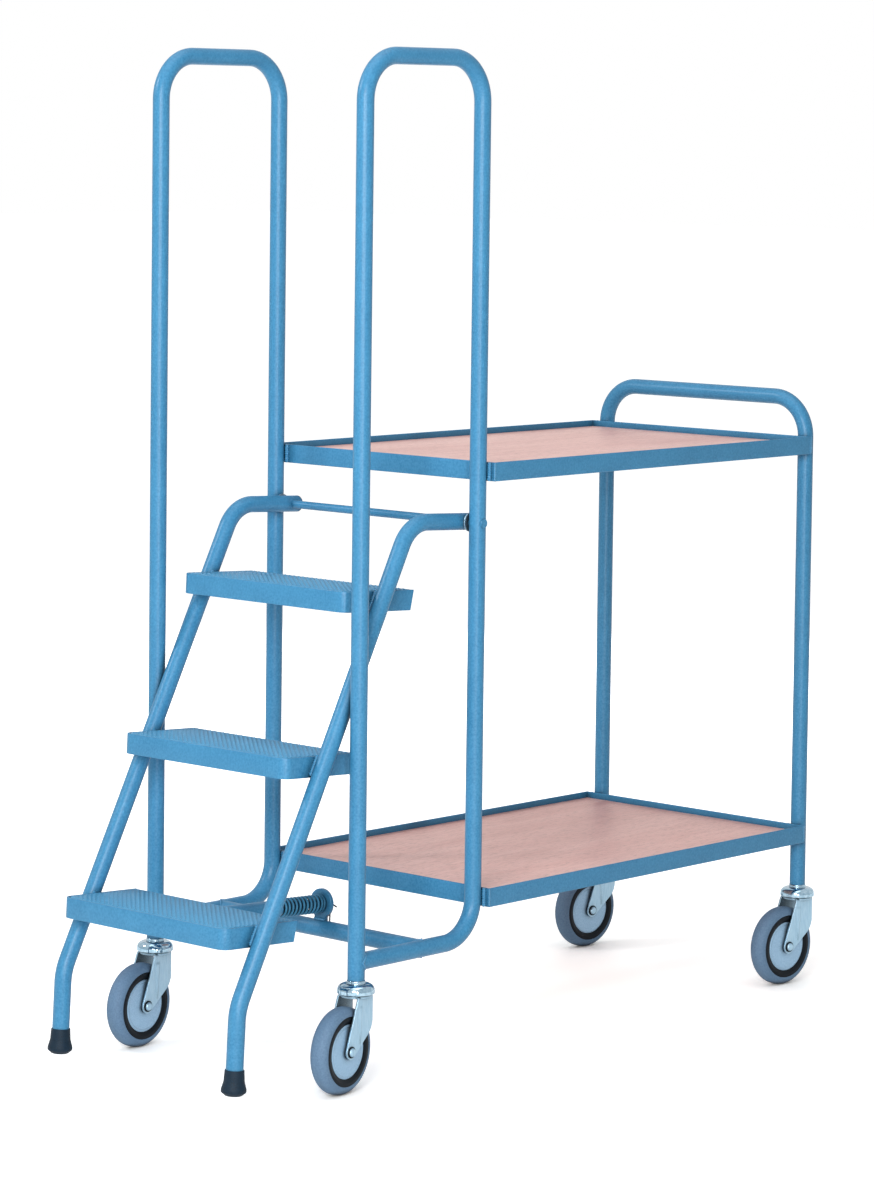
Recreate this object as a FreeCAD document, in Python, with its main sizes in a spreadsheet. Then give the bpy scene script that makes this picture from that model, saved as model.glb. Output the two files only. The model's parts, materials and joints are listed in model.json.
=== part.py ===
import FreeCAD, Part
import Sketcher
import math
import os
import re

# Order picking trolley with a sprung step unit.
# Front is the step end (-X), right is -Y, the floor is Z = 0. Pieces are drawn with X = 0 on
# the front leg axis; at the end all are moved so that the origin is under the trolley's middle.
# The step unit is drawn pressed down, with its treads level and its feet on the floor,
# and is then turned up about its pivot to where its spring holds it.

doc = FreeCAD.newDocument("order_picking_trolley")
sizes = doc.addObject("Spreadsheet::Sheet", "sizes")

# Driving dimensions, in millimetres and degrees
driving = {
    # Tube and joints
    "tube_diameter": 25.0,
    "tube_wall": 1.5,
    "weld_gap": 0.1,
    "fit_clearance": 0.05,
    "running_gap": 0.4,
    "cut_overrun": 10.0,
    # Handrail hoops
    "hoop_spacing": 414.0,
    "hoop_depth": 247.0,
    "hoop_height": 1483.0,
    "hoop_bend_radius": 64.0,
    "rail_bend_radius": 60.0,
    "rail_height": 183.0,
    "rail_end_length": 45.0,
    "cross_bar_place": 137.0,
    # Push handle
    "handle_spacing": 414.0,
    "handle_height": 944.0,
    "handle_bend_radius": 62.0,
    # Trays
    "tray_length": 762.0,
    "tray_width": 457.0,
    "upper_tray_height": 884.0,
    "lower_tray_height": 257.0,
    "angle_leg": 28.0,
    "angle_wall": 3.0,
    "board_thickness": 15.0,
    "board_clearance": 0.5,
    # Step pivot
    "pivot_height": 795.0,
    "pivot_diameter": 12.0,
    "pivot_gap": 3.0,
    "pivot_washer_diameter": 28.0,
    "pivot_end": 0.4,
    "pivot_cap_diameter": 13.4,
    "pivot_cap_wall": 0.5,
    "pivot_cap_round": 0.3,
    "step_lift_angle": 3.0,
    # Step stringers
    "step_rise": 232.0,
    "step_going": 105.5,
    "stringer_setback": 160.0,
    "stringer_tail": 17.0,
    "stringer_top_radius": 56.0,
    "knee_height": 120.0,
    "knee_radius": 80.0,
    # Treads
    "tread_depth": 145.0,
    "tread_overhang": 71.0,
    "tread_skirt": 30.0,
    "tread_corner_radius": 15.0,
    "tread_end_cut": 6.0,
    "band_thickness": 3.0,
    "plate_thickness": 2.5,
    "tread_slot": 1.5,
    # Rubber feet
    "foot_height": 36.0,
    "foot_floor_gap": 0.3,
    "foot_base": 10.0,
    "foot_top_wall": 1.4,
    "foot_waist_wall": 2.4,
    "foot_waist_height": 20.0,
    "foot_flare_diameter": 36.0,
    "foot_flare_height": 9.0,
    "foot_flare_band": 4.0,
    "foot_sole_diameter": 24.0,
    # Stringer end plugs
    "plug_head": 2.0,
    "plug_spigot": 8.0,
    # Spring guide
    "guide_drop": 17.5,
    "sleeve_diameter": 25.0,
    "guide_rod_diameter": 12.0,
    "spring_length": 90.0,
    "spring_diameter": 28.0,
    "spring_wire": 4.0,
    "spring_pitch": 8.0,
    "spring_seat_gap": 0.2,
    "spring_end_gap": 0.8,
    "lug_setback": 6.0,
    "lug_thickness": 6.0,
    "lug_head_diameter": 44.0,
    "lug_neck_width": 26.0,
    "lug_slot_clearance": 1.0,
    "stop_washer_diameter": 30.0,
    "stop_washer_thickness": 2.5,
    "guide_rod_tail": 8.0,
    "split_pin_diameter": 3.2,
    "split_pin_reach": 8.0,
    "split_pin_eye": 3.5,
    "split_pin_eye_width": 2.4,
    "split_pin_leg_diameter": 2.4,
    "split_pin_drop": 28.0,
    "split_pin_straight_leg": 24.0,
    # Castor swivel
    "castor_height": 158.0,
    "castor_trail": 37.0,
    "cup_diameter": 55.0,
    "cup_wall": 1.5,
    "cup_shoulder_radius": 10.0,
    "cup_collar_diameter": 27.0,
    "cup_collar_height": 5.0,
    "cup_drop": 18.5,
    "stem_length": 45.0,
    "king_pin_diameter": 12.0,
    "king_pin_head_diameter": 24.0,
    "king_pin_head": 3.0,
    # Castor fork
    "fork_inner_width": 31.6,
    "fork_thickness": 3.0,
    "fork_crown_front": 16.0,
    "fork_crown_back": 19.0,
    "fork_bend_radius": 5.0,
    "fork_pan_diameter": 46.0,
    "fork_pan_depth": 4.5,
    "fork_pan_wall": 2.0,
    "fork_heel_height": 90.0,
    "fork_heel_radius": 28.0,
    "fork_end_radius": 11.0,
    "fork_rib_width": 11.0,
    "fork_rib_height": 1.0,
    "fork_rib_place": 16.0,
    "fork_rib_tip": 3.0,
    "fork_rib_round": 1.2,
    "fork_rib_top": 124.0,
    "fork_rib_bottom": 70.0,
    # Castor wheel
    "wheel_diameter": 125.0,
    "tyre_width": 28.4,
    "tyre_crown_radius": 12.2,
    "rim_diameter": 100.0,
    "rim_width": 28.0,
    "rim_lip": 5.0,
    "rim_recess": 2.0,
    "cover_diameter": 78.0,
    "cover_thickness": 1.2,
    "cover_dish": 2.0,
    "hub_web": 12.0,
    "hub_boss_diameter": 20.0,
    "sleeve_wall": 2.5,
    "axle_diameter": 8.0,
    "axle_head_diameter": 13.0,
    "axle_head": 4.2,
    "axle_head_round": 3.0,
    "axle_nut_across": 13.0,
    "axle_nut": 6.5,
    "axle_thread_end": 3.0,
    # Castor swivel at rest, degrees about +Z
    "front_right_turn": 8.9,
    "front_left_turn": 5.6,
    "rear_right_turn": -5.4,
    "rear_left_turn": -4.9,
}

for row, (alias, size) in enumerate(driving.items(), start=1):
    sizes.set(f"A{row}", alias.replace("_", " "))
    sizes.set(f"B{row}", str(size))
    sizes.setAlias(f"B{row}", alias)
doc.recompute()

# Places that several pieces share, written in the driving dimensions
hoop_y = "(hoop_spacing / 2)"
tube_radius = "(tube_diameter / 2)"
tube_bore = "(tube_diameter - 2 * tube_wall)"
handle_x = "(hoop_depth + tube_diameter + tray_length + 2 * weld_gap)"
tray_front = "(hoop_depth + tube_diameter / 2 + weld_gap)"
stringer_y = "(hoop_spacing / 2 - tube_diameter - pivot_gap)"
tread_half = f"({stringer_y} - {tube_radius} - weld_gap)"
tread_names = ("lower", "middle", "upper")
top_step = len(tread_names)
step_slope = "(step_going / step_rise)"
knee_x = f"(hoop_depth - stringer_setback - ({top_step} * step_rise - knee_height) * {step_slope})"
corner_x = f"(hoop_depth - stringer_setback + (pivot_height - {top_step} * step_rise) * {step_slope})"
guide_height = "(step_rise - guide_drop)"
guide_fall = f"(pivot_height - {guide_height})"
lug_place = "(cross_bar_place + lug_setback)"
lug_offset = f"((hoop_depth - {lug_place} - {guide_fall} * sin(step_lift_angle)) / cos(step_lift_angle))"
lug_x = f"(hoop_depth - {lug_offset})"
lug_front = f"({lug_x} - lug_thickness / 2)"
lug_back = f"({lug_x} + lug_thickness / 2)"
spring_start = f"({lug_front} - spring_seat_gap - spring_length)"
crown_top = "(castor_height - cup_drop - running_gap)"
crown_bottom = f"({crown_top} - fork_thickness)"
fork_half = "(fork_inner_width / 2 + fork_thickness)"
axle_height = "(wheel_diameter / 2)"
sleeve_outer = "(axle_diameter + 2 * fit_clearance + 2 * sleeve_wall)"


def tread_front(step):
    """The front edge of a tread, counted from the lowest."""
    return f"(hoop_depth - stringer_setback - {top_step - step} * step_going - tread_overhang)"


sleeve_start = f"({tread_front(1)} + tread_depth + weld_gap)"
alias_words = re.compile(r"[a-z_]+")


def bound(text):
    """The same expression with each driving dimension read from the sheet."""
    return alias_words.sub(lambda word: "sizes." * (word.group() in driving) + word.group(), text)


def number(text):
    return float(sizes.evalExpression(bound(text)))


def tie(sketch, *parts, size):
    """A dimension of a sketch that follows the sheet."""
    index = sketch.addConstraint(Sketcher.Constraint(*parts, number(size)))
    sketch.setExpression(f"Constraints[{index}]", bound(size))


def pin_point(sketch, curve, point, x, y):
    tie(sketch, "DistanceX", curve, point, size=x)
    tie(sketch, "DistanceY", curve, point, size=y)


def tangent_corner(before, centre, after, radius):
    """The corner whose two sides pass through before and after and touch a circle on its left."""
    def side(point, sign):
        reach = centre - point
        turn = sign * math.asin(radius / reach.Length)
        return FreeCAD.Rotation(FreeCAD.Vector(0, 0, 1), math.degrees(turn)).multVec(reach)

    first = side(before, -1)
    second = side(after, 1)
    gap = after - before
    along = (gap.x * second.y - gap.y * second.x) / (first.x * second.y - first.y * second.x)
    return before + first * along


def draw_run(sketch, corners, closed=True):
    """Straight runs joined at sharp corners or by tangent arcs.

    A corner is (x, y), (x, y, radius) or, where the arc's centre is given instead of
    the corner, (x, y, radius, "centre").
    """
    count = len(corners)
    spots = [FreeCAD.Vector(number(c[0]), number(c[1]), 0) for c in corners]
    centred = [len(c) == 4 for c in corners]
    for i in range(count):
        if centred[i]:
            radius = number(corners[i][2])
            spots[i] = tangent_corner(spots[i - 1], spots[i], spots[(i + 1) % count], radius)
    starts = list(spots)
    ends = list(spots)
    arcs = {}
    for i in range(count):
        if len(corners[i]) == 2:
            continue
        radius = number(corners[i][2])
        inward = (spots[i] - spots[i - 1]).normalize()
        outward = (spots[(i + 1) % count] - spots[i]).normalize()
        turn = inward.getAngle(outward)
        left = inward.cross(outward).z > 0
        starts[i] = spots[i] - inward * (radius * math.tan(turn / 2))
        ends[i] = spots[i] + outward * (radius * math.tan(turn / 2))
        aside = FreeCAD.Vector(-inward.y, inward.x, 0) * (1 if left else -1)
        centre = starts[i] + aside * radius
        first, last = (starts[i], ends[i]) if left else (ends[i], starts[i])
        angles = [math.atan2(p.y - centre.y, p.x - centre.x) for p in (first, last)]
        circle = Part.Circle(centre, FreeCAD.Vector(0, 0, 1), radius)
        arcs[i] = (sketch.addGeometry(Part.ArcOfCircle(circle, *angles), False), left)
    sides = count if closed else count - 1
    lines = []
    for i in range(sides):
        lines.append(sketch.addGeometry(Part.LineSegment(ends[i], starts[(i + 1) % count]), False))
    for i in range(count):
        x, y = corners[i][:2]
        at_end = not closed and i in (0, count - 1)
        if at_end:
            pin_point(sketch, lines[0] if i == 0 else lines[-1], 1 if i == 0 else 2, x, y)
            continue
        before, after = lines[i - 1], lines[i]
        if i not in arcs:
            sketch.addConstraint(Sketcher.Constraint("Coincident", before, 2, after, 1))
            pin_point(sketch, after, 1, x, y)
            continue
        arc, left = arcs[i]
        sketch.addConstraint(Sketcher.Constraint("Tangent", before, 2, arc, 1 if left else 2))
        sketch.addConstraint(Sketcher.Constraint("Tangent", arc, 2 if left else 1, after, 1))
        tie(sketch, "Radius", arc, size=corners[i][2])
        if centred[i]:
            pin_point(sketch, arc, 3, x, y)
            continue
        mark = sketch.addGeometry(Part.Point(spots[i]), True)
        pin_point(sketch, mark, 1, x, y)
        sketch.addConstraint(Sketcher.Constraint("PointOnObject", mark, 1, before))
        sketch.addConstraint(Sketcher.Constraint("PointOnObject", mark, 1, after))


def draw_circle(sketch, x, y, diameter):
    spot = FreeCAD.Vector(number(x), number(y), 0)
    circle = Part.Circle(spot, FreeCAD.Vector(0, 0, 1), number(diameter) / 2)
    index = sketch.addGeometry(circle, False)
    pin_point(sketch, index, 3, x, y)
    tie(sketch, "Diameter", index, size=diameter)


def new_body(name):
    body = doc.addObject("PartDesign::Body", name)
    body.Label = name
    return body


def new_sketch(body, role, offset="0"):
    """A sketch on one of the body's own planes, moved along that plane's normal."""
    sketch = body.newObject("Sketcher::SketchObject", f"{body.Name}_outline")
    plane = next(p for p in body.Origin.OriginFeatures if p.Role == role)
    sketch.AttachmentSupport = [(plane, "")]
    sketch.MapMode = "FlatFace"
    sketch.setExpression("AttachmentOffset.Base.z", bound(offset))
    return sketch


def outline(body, role, corners, offset="0"):
    sketch = new_sketch(body, role, offset)
    draw_run(sketch, corners)
    return sketch


def pad(body, sketch, length, side="One side", reverse=False):
    feature = body.newObject("PartDesign::Pad", f"{body.Name}_pad")
    feature.Profile = sketch
    feature.SideType = side
    feature.Reversed = reverse
    feature.setExpression("Length", bound(length))
    return feature


def pocket(body, sketch, length=None, reverse=False):
    """A cut of a given depth or, with none given, right through both ways."""
    doc.recompute()
    before = body.Shape.Volume
    feature = body.newObject("PartDesign::Pocket", f"{body.Name}_pocket")
    feature.Profile = sketch
    feature.Reversed = reverse
    if length is None:
        feature.SideType = "Symmetric"
        feature.Type = "ThroughAll"
    else:
        feature.setExpression("Length", bound(length))
    doc.recompute()
    if body.Shape.Volume >= before:
        raise RuntimeError(f"{feature.Name} cuts nothing")
    return feature


def revolve(body, sketch, axis):
    feature = body.newObject("PartDesign::Revolution", f"{body.Name}_turn")
    feature.Profile = sketch
    feature.ReferenceAxis = (sketch, [axis])
    return feature


def sweep_tube(body, path, section):
    """The frame tube's ring section carried along a path."""
    x, y, role, offset = section
    ring = new_sketch(body, role, offset)
    draw_circle(ring, x, y, "tube_diameter")
    draw_circle(ring, x, y, tube_bore)
    feature = body.newObject("PartDesign::AdditivePipe", f"{body.Name}_sweep")
    feature.Profile = ring
    feature.Spine = path
    return feature


def bore(body, role, x, y, diameter):
    """A round hole right through the body."""
    sketch = new_sketch(body, role)
    draw_circle(sketch, x, y, diameter)
    return pocket(body, sketch)


def moved(x="0", y="0", z="0", turn="0"):
    """A move with a turn about the vertical."""
    spin = FreeCAD.Rotation(FreeCAD.Vector(0, 0, 1), number(turn))
    return FreeCAD.Placement(FreeCAD.Vector(number(x), number(y), number(z)), spin)


def place(piece, x="0", y="0", z="0", turn="0"):
    piece.Placement = moved(x, y, z, turn)


def lifted(y="0"):
    """From the pressed position to where the spring holds the step unit."""
    pivot = FreeCAD.Vector(number("hoop_depth"), 0, number("pivot_height"))
    turn = FreeCAD.Rotation(FreeCAD.Vector(0, 1, 0), number("step_lift_angle"))
    return FreeCAD.Placement(FreeCAD.Vector(0, number(y), 0), turn, pivot)


def join(name, members):
    """A group of separate alike pieces under one name."""
    group = doc.addObject("Part::Compound", name)
    group.Label = name
    group.Links = members
    return group


pieces = []


def keep(piece):
    pieces.append(piece)
    return piece


# Handrail hoops: the rail's end is coped to the front leg before the tube is carried round
def make_hoop(name, y):
    body = new_body(name)
    stub = new_sketch(body, "YZ_Plane", "rail_end_length")
    draw_circle(stub, "0", "rail_height", "tube_diameter")
    draw_circle(stub, "0", "rail_height", tube_bore)
    pad(body, stub, "rail_end_length", reverse=True)
    bore(body, "XY_Plane", "0", "0", "tube_diameter + 2 * weld_gap")
    path = new_sketch(body, "XZ_Plane")
    top = f"(hoop_height - {tube_radius})"
    draw_run(path, [
        ("0", "castor_height"),
        ("0", top, "hoop_bend_radius"),
        ("hoop_depth", top, "hoop_bend_radius"),
        ("hoop_depth", "rail_height", "rail_bend_radius"),
        ("rail_end_length", "rail_height"),
    ], closed=False)
    sweep_tube(body, path, ("0", "0", "XY_Plane", "castor_height"))
    bore(body, "XZ_Plane", "hoop_depth", "pivot_height", "pivot_diameter + 2 * fit_clearance")
    place(body, y=y)
    return keep(body)


make_hoop("right_hoop", f"-{hoop_y}")
make_hoop("left_hoop", hoop_y)


# Push handle: an inverted U behind the trays
def make_handle():
    body = new_body("push_handle")
    path = new_sketch(body, "YZ_Plane")
    draw_run(path, [
        ("-handle_spacing / 2", "castor_height"),
        ("-handle_spacing / 2", "handle_height", "handle_bend_radius"),
        ("handle_spacing / 2", "handle_height", "handle_bend_radius"),
        ("handle_spacing / 2", "castor_height"),
    ], closed=False)
    sweep_tube(body, path, ("0", "-handle_spacing / 2", "XY_Plane", "castor_height"))
    place(body, x=handle_x)
    return keep(body)


make_handle()


# Cross bar: a tube coped to both lower rails
def make_cross_bar():
    body = new_body("cross_bar")
    ring = new_sketch(body, "XZ_Plane")
    draw_circle(ring, "0", "0", "tube_diameter")
    draw_circle(ring, "0", "0", tube_bore)
    pad(body, ring, "hoop_spacing", side="Symmetric")
    rails = new_sketch(body, "YZ_Plane")
    for y in (f"-{hoop_y}", hoop_y):
        draw_circle(rails, y, "0", "tube_diameter + 2 * weld_gap")
    pocket(body, rails)
    place(body, x="cross_bar_place", z="rail_height")
    return keep(body)


make_cross_bar()


# Spring lug: round slotted head on a neck that is coped to the cross bar.
# The slot is as long as the guide rod drops at the lug while the steps are pressed down.
def make_lug():
    body = new_body("lug_plate")
    foot = f"({guide_height} - lug_head_diameter)"
    neck = new_sketch(body, "YZ_Plane")
    draw_run(neck, [
        ("-lug_neck_width / 2", foot),
        ("lug_neck_width / 2", foot),
        ("lug_neck_width / 2", guide_height),
        ("-lug_neck_width / 2", guide_height),
    ])
    pad(body, neck, "lug_thickness", side="Symmetric")
    head = new_sketch(body, "YZ_Plane")
    draw_circle(head, "0", guide_height, "lug_head_diameter")
    pad(body, head, "lug_thickness", side="Symmetric")
    half = "(guide_rod_diameter / 2 + lug_slot_clearance)"
    turned = f"(({lug_offset} + {guide_fall} * sin(step_lift_angle)) / cos(step_lift_angle))"
    drop = f"({guide_fall} * (cos(step_lift_angle) - 1) + {turned} * sin(step_lift_angle))"
    slot = new_sketch(body, "YZ_Plane")
    draw_run(slot, [
        (f"-{half}", f"{guide_height} + {half} - fit_clearance", f"{half} - fit_clearance"),
        (f"-{half}", f"{guide_height} - {drop} - {half}", f"{half} - fit_clearance"),
        (half, f"{guide_height} - {drop} - {half}", f"{half} - fit_clearance"),
        (half, f"{guide_height} + {half} - fit_clearance", f"{half} - fit_clearance"),
    ])
    pocket(body, slot)
    body.Placement = lifted().multiply(moved(x=lug_x))
    saddle = doc.addObject("Part::Cylinder", "lug_saddle")
    saddle.setExpression("Radius", bound(f"{tube_radius} + weld_gap"))
    saddle.setExpression("Height", bound("lug_head_diameter"))
    across = FreeCAD.Rotation(FreeCAD.Vector(1, 0, 0), 90)
    centre = moved("cross_bar_place", "lug_head_diameter / 2", "rail_height").Base
    saddle.Placement = FreeCAD.Placement(centre, across)
    lug = doc.addObject("Part::Cut", "spring_lug")
    lug.Base = body
    lug.Tool = saddle
    lug.Label = "spring_lug"
    return keep(lug)


make_lug()


# Tray angles: a mitred length, its outer face on the local X axis, its flanges inwards and down
def make_angle(name, length, x, y, z, turn):
    body = new_body(name)
    plan = outline(body, "XY_Plane", [
        (f"-{length} / 2", "0"),
        (f"{length} / 2", "0"),
        (f"{length} / 2 - angle_leg", "angle_leg"),
        (f"-{length} / 2 + angle_leg", "angle_leg"),
    ])
    pad(body, plan, "angle_leg")
    inside = outline(body, "XY_Plane", [
        (f"-{length} / 2 - cut_overrun", "angle_wall"),
        (f"{length} / 2 + cut_overrun", "angle_wall"),
        (f"{length} / 2 + cut_overrun", "angle_leg + cut_overrun"),
        (f"-{length} / 2 - cut_overrun", "angle_leg + cut_overrun"),
    ], "angle_leg")
    pocket(body, inside, "angle_leg - angle_wall")
    place(body, x, y, z, turn)
    return keep(body)


def make_tray(level, height):
    bottom = f"{height} - angle_leg"
    middle = f"{tray_front} + tray_length / 2"
    make_angle(f"{level}_tray_right_angle", "tray_length", middle, "-tray_width / 2", bottom, "0")
    make_angle(f"{level}_tray_left_angle", "tray_length", middle, "tray_width / 2", bottom, "180")
    make_angle(f"{level}_tray_front_angle", "tray_width", tray_front, "0", bottom, "-90")
    back = f"{tray_front} + tray_length"
    make_angle(f"{level}_tray_rear_angle", "tray_width", back, "0", bottom, "90")
    board = doc.addObject("Part::Box", f"{level}_board")
    board.Label = f"{level}_board"
    edge = "(angle_wall + board_clearance)"
    board.setExpression("Length", bound(f"tray_length - 2 * {edge}"))
    board.setExpression("Width", bound(f"tray_width - 2 * {edge}"))
    board.setExpression("Height", bound("board_thickness"))
    place(board, f"{tray_front} + {edge}", f"-tray_width / 2 + {edge}", f"{bottom} + angle_wall")
    keep(board)


make_tray("upper", "upper_tray_height")
make_tray("lower", "lower_tray_height")


# Step pivot: one rod through both hoops, with a washer at each stringer and a cap on each end
def make_pivot():
    body = new_body("pivot_rod")
    section = new_sketch(body, "XZ_Plane")
    draw_circle(section, "0", "0", "pivot_diameter")
    pad(body, section, "hoop_spacing + tube_diameter + 2 * pivot_end", side="Symmetric")
    place(body, x="hoop_depth", z="pivot_height")
    keep(body)
    washers = []
    caps = []
    for hand, turn in (("right", "0"), ("left", "180")):
        washer = new_body(f"{hand}_pivot_washer")
        ring = new_sketch(washer, "XZ_Plane")
        draw_circle(ring, "0", "0", "pivot_washer_diameter")
        draw_circle(ring, "0", "0", "pivot_diameter + 2 * fit_clearance")
        pad(washer, ring, "pivot_gap - 2 * weld_gap", side="Symmetric")
        middle = f"({hoop_y} - {tube_radius} - pivot_gap / 2)"
        place(washer, "hoop_depth", f"-{middle}" if hand == "right" else middle, "pivot_height")
        washers.append(washer)
        caps.append(make_pivot_cap(hand, turn))
    keep(join("pivot_washers", washers))
    keep(join("pivot_caps", caps))


def make_pivot_cap(hand, turn):
    cap = new_body(f"{hand}_pivot_cap")
    inner = "(pivot_diameter / 2 + fit_clearance)"
    seat = f"-({hoop_y} + {tube_radius} + weld_gap)"
    tip = f"-({hoop_y} + {tube_radius} + pivot_end)"
    shell = outline(cap, "YZ_Plane", [
        (seat, inner),
        (seat, "pivot_cap_diameter / 2"),
        (f"{tip} - fit_clearance - pivot_cap_wall", "pivot_cap_diameter / 2", "pivot_cap_round"),
        (f"{tip} - fit_clearance - pivot_cap_wall", "0"),
        (f"{tip} - fit_clearance", "0"),
        (f"{tip} - fit_clearance", inner),
    ])
    revolve(cap, shell, "H_Axis")
    place(cap, x="hoop_depth", z="pivot_height", turn=turn)
    return cap


make_pivot()


# Step stringers: vertical foot, leaning run and level top end, bored for the pivot rod
def make_stringer(name, y):
    body = new_body(name)
    start = "foot_floor_gap + foot_base"
    path = new_sketch(body, "XZ_Plane")
    draw_run(path, [
        (knee_x, start),
        (knee_x, "knee_height", "knee_radius"),
        (corner_x, "pivot_height", "stringer_top_radius"),
        ("hoop_depth + stringer_tail", "pivot_height"),
    ], closed=False)
    sweep_tube(body, path, (knee_x, "0", "XY_Plane", start))
    bore(body, "XZ_Plane", "hoop_depth", "pivot_height", "pivot_diameter + 2 * fit_clearance")
    body.Placement = lifted(y)
    return keep(body)


make_stringer("right_stringer", f"-{stringer_y}")
make_stringer("left_stringer", stringer_y)


# Treads: a flat bar bent round the front and both ends, and a plate folded down at the rear
def make_tread(name, step):
    front = tread_front(step)
    back = f"({front} + tread_depth)"
    height = f"({step} * step_rise)"
    inner = f"({tread_half} - band_thickness)"
    band = new_body(f"{name}_tread_band")
    strip = outline(band, "XY_Plane", [
        (back, f"-{tread_half}"),
        (back, f"-{inner}"),
        (f"{front} + band_thickness", f"-{inner}", "tread_corner_radius - band_thickness"),
        (f"{front} + band_thickness", inner, "tread_corner_radius - band_thickness"),
        (back, inner),
        (back, tread_half),
        (front, tread_half, "tread_corner_radius"),
        (front, f"-{tread_half}", "tread_corner_radius"),
    ], height)
    pad(band, strip, "tread_skirt", reverse=True)
    under = f"({height} - tread_skirt - cut_overrun)"
    pocket(band, outline(band, "XZ_Plane", [
        (f"{back} - tread_end_cut - cut_overrun", under),
        (f"{back} + cut_overrun", under),
        (f"{back} + cut_overrun", f"{under} + tread_end_cut + 2 * cut_overrun"),
    ]))
    band.Placement = lifted()
    keep(band)
    plate = new_body(f"{name}_tread_plate")
    edge = f"({inner} - tread_slot)"
    lead = f"({front} + band_thickness + weld_gap)"
    sheet = outline(plate, "XY_Plane", [
        (lead, f"-{edge}", "tread_corner_radius - band_thickness"),
        (back, f"-{edge}"),
        (back, edge),
        (lead, edge, "tread_corner_radius - band_thickness"),
    ], height)
    pad(plate, sheet, "plate_thickness", reverse=True)
    fold = outline(plate, "XY_Plane", [
        (f"{back} - plate_thickness", f"-{edge}"),
        (back, f"-{edge}"),
        (back, edge),
        (f"{back} - plate_thickness", edge),
    ], height)
    pad(plate, fold, "tread_skirt", reverse=True)
    plate.Placement = lifted()
    keep(plate)


for step, name in enumerate(tread_names, start=1):
    make_tread(name, step)


# Rubber feet: flared ferrules pushed over the stringers' ends
def make_foot(name, y):
    body = new_body(name)
    socket = f"({tube_radius} + fit_clearance)"
    sole = "foot_floor_gap"
    shell = outline(body, "XZ_Plane", [
        ("0", sole),
        ("foot_sole_diameter / 2", sole),
        ("foot_flare_diameter / 2", f"{sole} + foot_flare_height - foot_flare_band"),
        ("foot_flare_diameter / 2", f"{sole} + foot_flare_height"),
        (f"{tube_radius} + foot_waist_wall", f"{sole} + foot_waist_height"),
        (f"{tube_radius} + foot_top_wall", f"{sole} + foot_height"),
        (socket, f"{sole} + foot_height"),
        (socket, f"{sole} + foot_base"),
        ("0", f"{sole} + foot_base"),
    ])
    revolve(body, shell, "V_Axis")
    body.Placement = lifted(y).multiply(moved(x=knee_x))
    return keep(body)


make_foot("right_foot", f"-{stringer_y}")
make_foot("left_foot", stringer_y)


# End plugs in the stringers' upper ends
def make_plug(hand, y):
    body = new_body(f"{hand}_stringer_plug")
    end = "(hoop_depth + stringer_tail)"
    spigot = f"({tube_bore} / 2 - fit_clearance)"
    shell = outline(body, "XZ_Plane", [
        (f"{end} - plug_spigot", "0"),
        (f"{end} + plug_head", "0"),
        (f"{end} + plug_head", tube_radius, "plug_head / 2"),
        (end, tube_radius),
        (end, spigot),
        (f"{end} - plug_spigot", spigot),
    ])
    revolve(body, shell, "H_Axis")
    body.Placement = lifted(y).multiply(moved(z="pivot_height"))
    return body


keep(join("stringer_plugs", [make_plug("right", f"-{stringer_y}"), make_plug("left", stringer_y)]))


# Spring guide: a sleeve and rod behind the lower tread, a stop washer and a split pin behind the lug
def along_guide(piece):
    piece.Placement = lifted().multiply(moved(z=guide_height))
    return keep(piece)


def make_ring(name, start, length, outer, inner):
    body = new_body(name)
    ring = new_sketch(body, "YZ_Plane", start)
    draw_circle(ring, "0", "0", outer)
    draw_circle(ring, "0", "0", inner)
    pad(body, ring, length)
    return along_guide(body)


rod_hole = "guide_rod_diameter + 2 * fit_clearance"
washer_start = f"({lug_back} + weld_gap)"
pin_centre = f"({washer_start} + stop_washer_thickness + split_pin_diameter / 2 + weld_gap)"
sleeve_length = f"{spring_start} - spring_seat_gap - {sleeve_start}"
make_ring("guide_sleeve", sleeve_start, sleeve_length, "sleeve_diameter", rod_hole)
make_ring("stop_washer", washer_start, "stop_washer_thickness", "stop_washer_diameter", rod_hole)


def make_guide_rod():
    body = new_body("guide_rod")
    section = new_sketch(body, "YZ_Plane", sleeve_start)
    draw_circle(section, "0", "0", "guide_rod_diameter")
    pad(body, section, f"{pin_centre} + guide_rod_tail - {sleeve_start}")
    bore(body, "XZ_Plane", pin_centre, "0", "split_pin_diameter + 2 * fit_clearance")
    return along_guide(body)


make_guide_rod()


# Split pin: a shank across the rod, an eye beyond it, one leg straight on and one bent down
def make_split_pin():
    body = new_body("split_pin")
    reach = "(guide_rod_diameter / 2 + split_pin_reach)"
    eye = f"({reach} + split_pin_eye)"
    section = new_sketch(body, "XZ_Plane", f"-{reach}")
    draw_circle(section, pin_centre, "0", "split_pin_diameter")
    pad(body, section, f"2 * {reach}")
    ring = new_sketch(body, "YZ_Plane", pin_centre)
    draw_circle(ring, eye, "0", "2 * split_pin_eye + split_pin_diameter")
    draw_circle(ring, eye, "0", "2 * split_pin_eye - split_pin_diameter")
    pad(body, ring, "split_pin_eye_width", side="Symmetric")
    leg = new_sketch(body, "XZ_Plane")
    draw_circle(leg, pin_centre, "0", "split_pin_leg_diameter")
    pad(body, leg, "split_pin_straight_leg")
    bent = new_sketch(body, "XY_Plane")
    draw_circle(bent, pin_centre, "-(guide_rod_diameter + split_pin_reach) / 2", "split_pin_leg_diameter")
    pad(body, bent, "split_pin_drop", reverse=True)
    return along_guide(body)


make_split_pin()


# Step spring: one wire wound in turns between the sleeve and the lug, its end turns closed up
def helix_point(radius, turn, travel):
    return FreeCAD.Vector(travel, radius * math.sin(turn), radius * math.cos(turn))


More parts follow.
